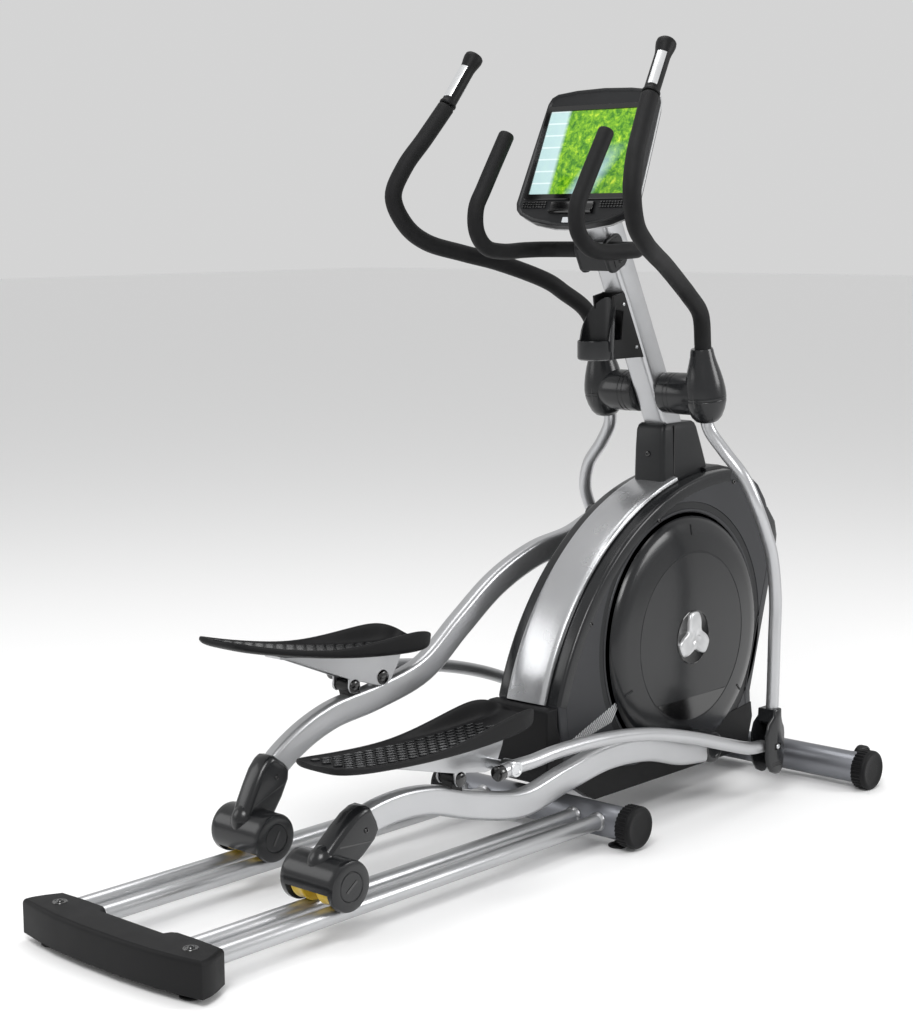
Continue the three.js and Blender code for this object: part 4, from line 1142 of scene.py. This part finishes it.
class TRAINER_OT_inner_drive(bpy.types.Operator):
    """Finishes for the drive pieces inside the housing, which keep their CAD shapes"""
    bl_idname = "trainer.inner_drive"
    bl_label = "Inner drive"

    def execute(self, context):
        colours = context.scene.trainer_colours
        finishes = {"base_frame": silver_paint, "drive_pulley": black_plastic, "flywheel": turned_steel,
                    "drive_belt": belt_rubber}
        for name, material in finishes.items():
            refinish(name, material(colours))
        return {"FINISHED"}


# ---------- arms, rollers, pedals ----------
ARM_LINE = [(40, 54), (58, 62), (105, 88), (197, 101), (300, 92), (430, 52), (590, 19), (740, 42), (890, 61),
            (1040, 49), (1170, 12), (1262, 0)]


class TRAINER_OT_arms(bpy.types.Operator):
    """The bent pedal arms with their crank joints"""
    bl_idname = "trainer.arms"
    bl_label = "Pedal arms"

    def execute(self, context):
        colours = context.scene.trainer_colours
        for side, sign in SIDES:
            arm, _ = linkage(sign)
            bm = bmesh.new()
            path = smooth_path([(x, sign * TRACK_Y, z) for x, z in ARM_LINE], PATH_STEPS)
            places = flat_placements(path)
            sweep(bm, rounded_bar_section(bm, *ARM_SECTION, 11, places[0]), places)
            settle(bm, f"pedal_arm_{side}_beam", f"{side}_arm", silver_paint(colours),
                   [f"pedal_arm_{side}"], local=arm)
            self.crank_joint(colours, side, sign, arm)
            self.link_lug(colours, side, sign, arm)
        return {"FINISHED"}

    def crank_joint(self, colours, side, sign, arm):
        bm = bmesh.new()
        profile = [(0, 127), (30, 127), (35, 129), (37, 133), (37, 150), (36, 151), (36, 153), (37, 154),
                   (37, 184), (35, 188), (30, 190), (24, 190), (22, 188.4), (0, 188.4)]
        turned(bm, profile, along_y(ARM_LENGTH, 0, 0, sign), 56)
        settle(bm, f"crank_joint_{side}", f"{side}_arm", gloss_charcoal(colours),
               local=arm)

    def link_lug(self, colours, side, sign, arm):
        x, z = LINK_PIVOT
        bm = bmesh.new()
        outline = [(x - 19, z - 52), (x + 24, z - 62), (x + 16, z - 16), (x + 12, z + 2), (x + 4, z + 9),
                   (x - 6, z + 8), (x - 12, z)]
        plate(bm, outline, *span(sign, TRACK_Y - 15, TRACK_Y + 15))
        turned(bm, [(0, -20), (13, -20), (14, -19), (14, 19), (13, 20), (0, 20)],
               along_y(x, sign * TRACK_Y, z, sign), 40)
        settle(bm, f"link_lug_{side}", f"{side}_arm", black_plastic(colours), local=arm,
               edge=2)


class TRAINER_OT_rollers(bpy.types.Operator):
    """Roller covers with their sockets, and the grooved wheels inside them"""
    bl_idname = "trainer.rollers"
    bl_label = "Rollers"

    def execute(self, context):
        colours = context.scene.trainer_colours
        for side, sign in SIDES:
            arm, _ = linkage(sign)
            self.drum(colours, side, sign, arm)
            self.socket(colours, side, sign, arm)
            self.wheels(colours, side, sign, arm)
        return {"FINISHED"}

    def drum(self, colours, side, sign, arm):
        """A long hood round the wheels, open below between its two end walls."""
        bm = bmesh.new()
        centre = sign * TRACK_Y
        hood = [(DRUM[0] * cos(a), DRUM[0] * sin(a))
                for a in [radians(-26 + 216 * i / 40) for i in range(41)]]
        inner = [(DRUM[1] * cos(a), DRUM[1] * sin(a))
                 for a in [radians(190 - 216 * i / 40) for i in range(41)]]
        plate(bm, [*hood, *inner], centre - 60, centre + 60)
        for end in (-1, 1):
            place = along_y(0, centre, 0, end)
            cap = [(0, 58), (50, 58), (52, 59.5), (52, 70), (50.5, 73.5), (46, 75.6), (32, 76), (30, 74.4),
                   (28, 76), (0, 76)]
            turned(bm, cap, place, 72)
        settle(bm, f"roller_cover_{side}_drum", f"{side}_arm", gloss_charcoal(colours),
               [f"roller_cover_{side}"], local=arm)
        bm = bmesh.new()
        for end in (-1, 1):
            face = centre + end * 76
            mark = along_y(0, face, 0, end) @ Matrix.Rotation(0.6, 4, "Z")
            made = bmesh.ops.create_cube(bm, size=1)["verts"]
            bmesh.ops.transform(bm, verts=made, matrix=mark @ Matrix.Diagonal((34, 6, 2.2, 1)))
        settle(bm, f"roller_cover_{side}_slots", f"{side}_arm", gloss_black(colours),
               local=arm, edge=0.8)

    def socket(self, colours, side, sign, arm):
        bm = bmesh.new()
        outline = [(-30, 30), (-22, 50), (-8, 64), (12, 80), (38, 100), (64, 118), (88, 128), (102, 129),
                   (112, 122), (128, 94), (134, 74), (122, 54), (90, 30), (46, 6), (0, 0), (-22, 10)]
        centre = sign * TRACK_Y
        turned(bm, [(31 * cos(a), 31 * sin(a)) for a in [radians(-90 + 12 * i) for i in range(16)]],
               Matrix.Translation((-6, centre, 36)) @ Matrix.Rotation(radians(35), 4, "Y")
               @ Matrix.Diagonal((1, 0.95, 1.15, 1)), 40)
        rings = []
        for y, inset in ((-26, 13), (-24.5, 7), (-20.5, 2.5), (-15, 0), (15, 0), (20.5, 2.5), (24.5, 7),
                         (26, 13)):
            rings.append(closed_ring(bm, [(x, centre + y, z) for x, z in offset(outline, -inset)]))
        capped_loft(bm, rings)
        settle(bm, f"roller_socket_{side}", f"{side}_arm", gloss_charcoal(colours),
               local=arm, sharp=50)
        bm = bmesh.new()
        for end in (-1, 1):
            screw(bm, along_y(92, centre + end * 25.6, 82, end), 6)
            plate(bm, [(16, 62), (19, 65), (106, 58), (106, 55)],
                  *sorted((centre + end * 24, centre + end * 26.4)))
        settle(bm, f"roller_socket_{side}_screws", f"{side}_arm", gloss_black(colours),
               local=arm)

    def wheels(self, colours, side, sign, arm):
        x = (arm @ Vector((0, 0, 0))).x
        half = (RAIL_Y[1] - RAIL_Y[0]) / 2
        bm = bmesh.new()
        groove = [(-16, 44), (-14, 46), (-11, 46), (-6, 43.6), (0, 42.7), (6, 43.6), (11, 46), (14, 46),
                  (16, 44)]
        for middle in (-half, half):
            tread = [(radius, middle + shift) for shift, radius in groove]
            turned(bm, [(10, middle - 16), *tread, (10, middle + 16), (10, middle - 16)],
                   along_y(x, sign * TRACK_Y, ROLLER_Z), 72)
        turned(bm, [(9.6, -half - 17), (18, -half - 17), (18, half + 17), (9.6, half + 17),
                    (9.6, -half - 17)], along_y(x, sign * TRACK_Y, ROLLER_Z), 40)
        settle(bm, f"roller_wheels_{side}_tread", f"{side}_rollers", wheel_urethane(colours),
               [f"roller_wheels_{side}"])
        refinish(f"roller_axle_{side}", turned_steel(colours))


PEDAL_STATIONS = [  # x, half width, underside, floor, rim
    (-402, 46, 53, 60, 62.5), (-398, 56, 48, 57.5, 63), (-386, 65, 44.5, 56, 63), (-345, 73, 43, 55, 62.5),
    (-290, 76, 44, 56, 63), (-200, 78, 48, 60, 67.5), (-120, 78, 54, 66, 76), (-40, 78, 62, 74, 94),
    (40, 78, 73.5, 84, 118), (110, 78, 86, 95, 139), (150, 75, 95, 103, 145), (176, 67, 103, 112, 143),
    (190, 54, 109, 122, 138), (194, 42, 114, 125, 133),
]


def pedal_height(x, column):
    """A height along the pedal, between its stations."""
    for a, b in zip(PEDAL_STATIONS, PEDAL_STATIONS[1:]):
        if a[0] <= x <= b[0]:
            return a[column] + (b[column] - a[column]) * (x - a[0]) / (b[0] - a[0])
    return PEDAL_STATIONS[-1][column]


class TRAINER_OT_pedals(bpy.types.Operator):
    """The long dished pedals with their raised treads"""
    bl_idname = "trainer.pedals"
    bl_label = "Pedals"

    def execute(self, context):
        colours = context.scene.trainer_colours
        for side, sign in SIDES:
            _, link = linkage(sign)
            self.tray(colours, side, sign, link)
            self.tread(colours, side, sign, link)
        return {"FINISHED"}

    def tray(self, colours, side, sign, link):
        bm = bmesh.new()
        rings = []
        for x, width, under, floor, rim in PEDAL_STATIONS:
            wall = min(9.0, width * 0.2)
            right = [(0.0, under), (width * 0.62, under), (width * 0.9, under + 3), (width, under + 8),
                     (width, (under + rim) / 2), (width, rim - 2.5), (width - wall * 0.3, rim),
                     (width - wall * 0.75, rim - 0.4), (width - wall, rim - 3),
                     (width - wall * 1.3, (floor + rim) / 2), (width - wall * 1.7, floor + 1.5),
                     (width - wall * 2.6, floor), (0.0, floor)]
            right = [(y, max(z, under)) for y, z in right]
            section = [*right, *[(-y, z) for y, z in reversed(right[1:-1])]]
            rings.append(closed_ring(bm, [(x, sign * TRACK_Y + y, z) for y, z in section]))
        capped_loft(bm, rings)
        settle(bm, f"pedal_{side}_tray", f"{side}_link", cover_black(colours),
               [f"pedal_{side}"], local=link, smoothing=2, sharp=180)

    def tread(self, colours, side, sign, link):
        bm = bmesh.new()
        for column in range(16):
            x = -352 + column * 30
            slope = (pedal_height(x + 12, 3) - pedal_height(x - 12, 3)) / 24
            for row in range(7):
                shift = 15 if row % 2 else 0
                y = -48 + row * 16
                if x + shift > 128:
                    continue
                z = pedal_height(x + shift, 3) + 0.4
                made = bmesh.ops.create_cube(bm, size=1)["verts"]
                place = (Matrix.Translation((x + shift, sign * TRACK_Y + y, z))
                         @ Matrix.Rotation(-slope, 4, "Y"))
                bmesh.ops.transform(bm, verts=made, matrix=place @ Matrix.Diagonal((19, 9, 9, 1)))
        settle(bm, f"pedal_{side}_tread", f"{side}_link", gloss_charcoal(colours),
               local=link, edge=1.3)


class TRAINER_OT_links(bpy.types.Operator):
    """Pedal brackets and the bent rods that run forward to the swing arms"""
    bl_idname = "trainer.links"
    bl_label = "Pedal links"

    def execute(self, context):
        sizes, colours = context.scene.trainer_sizes, context.scene.trainer_colours
        for side, sign in SIDES:
            _, link = linkage(sign)
            self.bracket(colours, side, sign, link)
            self.rod(sizes, colours, side, sign, link)
        return {"FINISHED"}

    def bracket(self, colours, side, sign, link):
        bm = bmesh.new()
        cheek = [(-236, 44), (-60, 59), (60, 74), (132, 92), (126, 62), (112, 24), (98, 12), (78, 8),
                 (16, 12), (14, -10), (6, -15), (-8, -15), (-16, -6), (-20, 14)]
        inner, outer = TRACK_Y - 27, TRACK_Y + 27
        plate(bm, cheek, *span(sign, inner, inner + 5))
        plate(bm, cheek, *span(sign, outer - 5, outer))
        web = [(-236, 44), (-60, 59), (60, 74), (132, 92), (126, 80), (60, 66), (-60, 51), (-232, 38)]
        plate(bm, web, *span(sign, inner + 2, outer - 2))
        settle(bm, f"pedal_bracket_{side}", f"{side}_link", silver_paint(colours),
               [f"pedal_link_{side}"], local=link, edge=1.6)
        bm = bmesh.new()
        for end in (-1, 1):
            middle = sign * TRACK_Y
            cap = [(0, 33), (9, 33), (13, 31), (15.5, 28.5), (16, 27), (0, 27)]
            turned(bm, cap, along_y(0, middle, 0, end), 40)
        cap = [(0, 33), (11, 33), (15, 31), (16.5, 28.5), (17, 27), (0, 27)]
        turned(bm, cap, along_y(LINK_PIN[0], sign * TRACK_Y, LINK_PIN[1], -sign), 40)
        settle(bm, f"pedal_bracket_{side}_caps", f"{side}_link", gloss_black(colours),
               local=link)

    def rod(self, sizes, colours, side, sign, link):
        x, z = LINK_PIN
        bm = bmesh.new()
        path = [(50, 21), (x, z), (150, 36), (230, 50), (400, 65), (560, 63), (720, 43), (870, 15), (970, -2),
                (1026, -1)]
        tube(bm, smooth_path([(px, sign * ROD_Y, pz) for px, pz in path], PATH_STEPS), sizes.tube_radius,
             TUBE_SEGMENTS, ends=2)
        settle(bm, f"link_rod_{side}", f"{side}_link", silver_paint(colours), local=link)
        bm = bmesh.new()
        tube(bm, [(38, sign * ROD_Y, 18.5), (46, sign * ROD_Y, 20.2), (56, sign * ROD_Y, 22.4)],
             sizes.tube_radius + 1, TUBE_SEGMENTS, ends=2)
        settle(bm, f"link_rod_{side}_plug", f"{side}_link", gloss_black(colours), local=link)
        bm = bmesh.new()
        pin = [(0, -96), (12, -96), (12, -22), (15.5, -22), (17.5, -20), (17.5, 15), (16, 17.5), (11, 17.5),
               (10, 16), (0, 16)]
        turned(bm, pin, along_y(x, sign * ROD_Y, z, sign), 48)
        settle(bm, f"link_pin_{side}", f"{side}_link", turned_steel(colours), local=link)


# ---------- swing arms ----------
GRIP_PATH = [(-17.5, 5, 84), (-20, 5, 124), (-48, 18, 192), (-118, 34, 240), (-165, 44, 267), (-290, 92, 314),
             (-374, 129, 337), (-460, 167, 364), (-512, 182, 402), (-541, 194, 468), (-516, 181, 536),
             (-469, 162, 600), (-413, 143, 675)]
HEAD = ((-412.6, 142.9, 675.6), (-331, 126, 794))
LOWER_PATH = [(12, -8, -48), (20, -2, -84), (33, 34, -136), (43, 84, -196), (60, 108, -262), (95, 112, -330),
              (124, 111, -390), (144, 110, -495), (142, 110, -600), (138, 110, -745), (134, 110, -795)]


def outward(sign, path):
    return [(x, sign * (y + SWING_Y), z) for x, y, z in path]


class TRAINER_OT_swing_arms(bpy.types.Operator):
    """Moving handles: foam grips, shrouds at the mast and bent lower tubes"""
    bl_idname = "trainer.swing_arms"
    bl_label = "Swing arms"

    def execute(self, context):
        sizes, colours = context.scene.trainer_sizes, context.scene.trainer_colours
        for side, sign in SIDES:
            body = f"{side}_swing"
            bm = bmesh.new()
            tube(bm, smooth_path(outward(sign, GRIP_PATH), PATH_STEPS), sizes.grip_radius, TUBE_SEGMENTS,
                 ends=3)
            settle(bm, f"swing_grip_{side}_foam", body, grip_foam(colours),
                   [f"swing_grip_{side}"], local=SWING)
            bm = bmesh.new()
            tube(bm, smooth_path(outward(sign, LOWER_PATH), PATH_STEPS), sizes.tube_radius, TUBE_SEGMENTS,
                 ends=1)
            settle(bm, f"swing_tube_{side}_bend", body, silver_paint(colours),
                   [f"swing_tube_{side}"], local=SWING)
            self.shroud(colours, side, sign, body)
            self.head(colours, side, sign, body)
            self.joint_cover(colours, side, sign, body)
        return {"FINISHED"}

    def shroud(self, colours, side, sign, body):
        """A pear-shaped barrel round the tube, with an elbow that runs in to the mast."""
        bm = bmesh.new()
        barrel = [(0, -66), (17, -66), (27, -62), (36, -52), (44, -34), (48.6, -16), (48.9, -11), (48, -10),
                  (48, -8.6), (49.3, -7.6), (49.5, -3), (48.4, -2), (48.4, -0.6), (49.6, 0.4), (48.4, 16),
                  (45, 36), (40, 56), (34, 76), (29.4, 94), (27.2, 108), (25.4, 112.4), (22, 113), (0, 113)]
        lean = Matrix.Translation((0, sign * SWING_Y, 0)) @ Matrix.Rotation(-0.15, 4, "Y")
        turned(bm, barrel, lean, 72)
        elbow = [(0, 37), (46, 37), (48.6, 38.5), (49.4, 42), (49.4, 60), (48.2, 61), (48.2, 62.8),
                 (49.5, 63.8), (49.7, 72), (48.5, 73), (48.5, 74.8), (49.8, 75.8), (50, 80), (50, 112),
                 (47, 134), (38, 152), (20, 163), (0, 166)]
        turned(bm, elbow, along_y(0, 0, 0, sign), 72)
        settle(bm, f"swing_shroud_{side}_shell", body, gloss_charcoal(colours),
               [f"swing_shroud_{side}"], local=SWING, sharp=45)
        bm = bmesh.new()
        seam = [Vector((0.6 * x, sign * (SWING_Y + 0.4), z)) for x, z in ((-72, -30), (-82, -4), (-76, 30),
                                                                          (-66, 70), (-58, 104))]
        tube(bm, smooth_path(seam, 6), 0.9, 8, ends=0.4)
        settle(bm, f"swing_shroud_{side}_seam", body, gloss_black(colours), local=SWING)

    def head(self, colours, side, sign, body):
        """The thumb head: a slim neck with two bright sensor strips, and a round pad on top."""
        start, stop = (Vector((x, sign * (y + SWING_Y), z)) for x, y, z in HEAD)
        axis = (stop - start).normalized()
        length = (stop - start).length
        place = Matrix.Translation(start) @ axis.to_track_quat("Z", "X").to_matrix().to_4x4()
        bm = bmesh.new()
        profile = [(0, 3), (19.4, 3), (20.4, 4), (20.4, 8), (19.2, 10), (17.8, 13), (17.6, length - 42),
                   (18.8, length - 32), (21.4, length - 20), (22.6, length - 11), (21.8, length - 4),
                   (19, length - 0.8), (15.6, length), (14.2, length - 0.4), (14, length - 5),
                   (0, length - 5)]
        turned(bm, profile, place, 56)
        settle(bm, f"swing_head_{side}_shell", body, cover_black(colours),
               [f"swing_head_{side}"], local=SWING, sharp=45)
        bm = bmesh.new()
        for turn in (20, 200):
            strip = place @ Matrix.Rotation(radians(turn), 4, "Z")
            rings = []
            for height, radius in ((18, 16.5), (20, 19.6), (length - 40, 19.6), (length - 38, 16.5)):
                points = [strip @ Vector((radius * cos(radians(a)), radius * sin(radians(a)), height))
                          for a in range(-32, 33, 4)]
                back = [strip @ Vector((16.2 * cos(radians(a)), 16.2 * sin(radians(a)), height))
                        for a in range(32, -33, -4)]
                rings.append(closed_ring(bm, [*points, *back]))
            capped_loft(bm, rings)
        settle(bm, f"swing_head_{side}_sensors", body, sensor_plate(colours), local=SWING)
        bm = bmesh.new()
        pad = [(0, -3.4), (13.4, -3.4), (13.4, 0.6), (12, 2.2), (7, 3.0), (0, 3.3)]
        turned(bm, pad, place @ Matrix.Translation((0, 0, length)), 48)
        settle(bm, f"swing_button_{side}_pad", f"{side}_button", dark_paint(colours),
               [f"swing_button_{side}"], local=SWING)

    def joint_cover(self, colours, side, sign, body):
        """A tall moulded fork cover, open to the rear where the rod comes in."""
        x = SWING_END[0] - SWING_PIVOT[0]
        z = SWING_END[1] - SWING_PIVOT[1]
        outline = [(-30, -22), (-26, -40), (-16, -60), (-2, -69), (12, -70), (24, -60), (30, -40), (32, -10),
                   (32, 30), (30, 44), (22, 58), (18, 72), (17, 92), (-13, 92), (-15, 74), (-24, 60),
                   (-31, 34)]
        outline = [(px if px > 0 or pz > 70 else px * 1.45, pz) for px, pz in outline]
        bm = bmesh.new()
        for near, far, faces in ((ROD_Y - 26, ROD_Y - 18, -1), (ROD_Y + 18, ROD_Y + 26, 1)):
            rings = []
            steps = ((near, 5), (near + 2, 1.5), (near + 5, 0), (far, 0)) if faces < 0 else (
                (near, 0), (far - 5, 0), (far - 2, 1.5), (far, 5))
            for y, inset in steps:
                rings.append(closed_ring(bm, [(x + px, sign * y, z + pz)
                                              for px, pz in offset(outline, -inset)]))
            capped_loft(bm, rings)
        spine = [(20, -56), (26, -56), (32, -36), (32, 34), (28, 50), (20, 62), (17, 92), (-13, 92),
                 (-15, 74), (-20, 62), (-10, 52), (10, 50), (20, 36), (22, 0)]
        plate(bm, [(x + px, z + pz) for px, pz in spine], *span(sign, ROD_Y - 19, ROD_Y + 19))
        settle(bm, f"swing_joint_cover_{side}_shell", body, gloss_charcoal(colours),
               [f"swing_joint_cover_{side}"], local=SWING, sharp=50)
        bm = bmesh.new()
        for offset_z in (-6, -10, -14):
            plate(bm, [(x - 22, z + offset_z - 34), (x + 22, z + offset_z - 34),
                       (x + 22, z + offset_z - 32.6), (x - 22, z + offset_z - 32.6)],
                       *span(sign, ROD_Y + 25, ROD_Y + 26.6))
        plate(bm, [(x - 13, z - 8), (x + 13, z - 8), (x + 13, z + 8), (x - 13, z + 8)],
              *span(sign, ROD_Y + 25, ROD_Y + 26.8))
        settle(bm, f"swing_joint_cover_{side}_ribs", body, gloss_black(colours), local=SWING,
               edge=0.5)
        bm = bmesh.new()
        screw(bm, along_y(x, sign * (ROD_Y + 26.6), z, sign), 6.5)
        settle(bm, f"swing_joint_{side}_bolt", body, turned_steel(colours), local=SWING)


# ---------- stage: metres and degrees ----------
CAMERA_PLACE = (-3.3422, -2.9843, 1.4021)
CAMERA_TURN = (42.4269, 8.1387, -0.4112)  # heading, downward tilt, roll
CAMERA_LENS = 72.03  # millimetres on a 36 mm sensor
LAMP_TARGET = (0.1, 0, 0.7)
LAMPS = (  # name, place, size, watts
    ("key", (-3.4, -2.2, 4.6), 2.2, 165),
    ("fill", (-3.2, 3.6, 2.6), 2.6, 45),
    ("front", (2.6, -3.6, 2.4), 1.8, 75),
    ("top", (0.4, 0.6, 4.8), 2.4, 60),
)


class TRAINER_OT_stage(bpy.types.Operator):
    """A pale floor, soft lights and the camera"""
    bl_idname = "trainer.stage"
    bl_label = "Stage"

    def execute(self, context):
        self.floor()
        self.world(context)
        for lamp in LAMPS:
            self.light(*lamp)
        self.camera(context)
        return {"FINISHED"}

    def floor(self):
        bm = bmesh.new()
        bmesh.ops.create_grid(bm, x_segments=1, y_segments=1, size=40)
        mesh = bpy.data.meshes.new("floor")
        bm.to_mesh(mesh)
        bm.free()
        material = bpy.data.materials.new("pale_floor")
        material.use_nodes = True
        shader = material.node_tree.nodes["Principled BSDF"]
        shader.inputs["Base Color"].default_value = (0.93, 0.93, 0.93, 1)
        shader.inputs["Roughness"].default_value = 0.55
        mesh.materials.append(material)
        floor = bpy.data.objects.new("floor", mesh)
        bpy.context.collection.objects.link(floor)

    def world(self, context):
        world = context.scene.world or bpy.data.worlds.new("Studio")
        context.scene.world = world
        world.use_nodes = True
        background = world.node_tree.nodes["Background"]
        background.inputs["Color"].default_value = (1, 1, 1, 1)
        background.inputs["Strength"].default_value = 0.66
        context.scene.view_settings.view_transform = "Standard"

    def light(self, name, place, size, power):
        lamp = bpy.data.lights.new(name, "AREA")
        lamp.size = size
        lamp.energy = power
        holder = bpy.data.objects.new(name, lamp)
        bpy.context.collection.objects.link(holder)
        holder.location = place
        aim = Vector(LAMP_TARGET) - Vector(place)
        holder.rotation_euler = aim.to_track_quat("-Z", "Y").to_euler()

    def camera(self, context):
        lens = bpy.data.cameras.new("camera")
        lens.lens = CAMERA_LENS
        lens.sensor_width = 36
        lens.clip_end = 100
        holder = bpy.data.objects.new("camera", lens)
        context.collection.objects.link(holder)
        yaw, pitch, roll = (radians(angle) for angle in CAMERA_TURN)
        forward = Vector((cos(pitch) * cos(yaw), cos(pitch) * sin(yaw), -sin(pitch)))
        right = Vector((sin(yaw), -cos(yaw), 0))
        up = right.cross(forward)
        right, up = cos(roll) * right + sin(roll) * up, cos(roll) * up - sin(roll) * right
        turn = Matrix((right, up, -forward)).transposed().to_4x4()
        holder.matrix_world = Matrix.Translation(CAMERA_PLACE) @ turn
        context.scene.camera = holder


class TRAINER_PT_panel(bpy.types.Panel):
    """Lists the trainer's operators, sizes and colours"""
    bl_idname = "TRAINER_PT_panel"
    bl_label = "Elliptical trainer"
    bl_space_type = "VIEW_3D"
    bl_region_type = "UI"
    bl_category = "Trainer"

    def draw(self, context):
        column = self.layout.column()
        for operator in OPERATORS:
            column.operator(operator.bl_idname)
        for settings in (context.scene.trainer_sizes, context.scene.trainer_colours):
            for name in settings.bl_rna.properties.keys():
                if name not in {"rna_type", "name"}:
                    column.prop(settings, name)


OPERATORS = (
    TRAINER_OT_stage, TRAINER_OT_rails, TRAINER_OT_cross_tubes, TRAINER_OT_feet, TRAINER_OT_rear_cover,
    TRAINER_OT_mast, TRAINER_OT_handlebar, TRAINER_OT_bottle_holder, TRAINER_OT_console,
    TRAINER_OT_side_covers, TRAINER_OT_covers, TRAINER_OT_crank, TRAINER_OT_inner_drive, TRAINER_OT_arms,
    TRAINER_OT_rollers, TRAINER_OT_pedals, TRAINER_OT_links, TRAINER_OT_swing_arms,
)
CLASSES = (TrainerSizes, TrainerColours, *OPERATORS, TRAINER_PT_panel)


def register():
    for cls in CLASSES:
        bpy.utils.register_class(cls)
    bpy.types.Scene.trainer_sizes = bpy.props.PointerProperty(type=TrainerSizes)
    bpy.types.Scene.trainer_colours = bpy.props.PointerProperty(type=TrainerColours)


def unregister():
    del bpy.types.Scene.trainer_sizes
    del bpy.types.Scene.trainer_colours
    for cls in reversed(CLASSES):
        bpy.utils.unregister_class(cls)


def main():
    register()
    for operator in OPERATORS:
        group, action = operator.bl_idname.split(".")
        getattr(getattr(bpy.ops, group), action)()


if __name__ == "__main__":
    main()
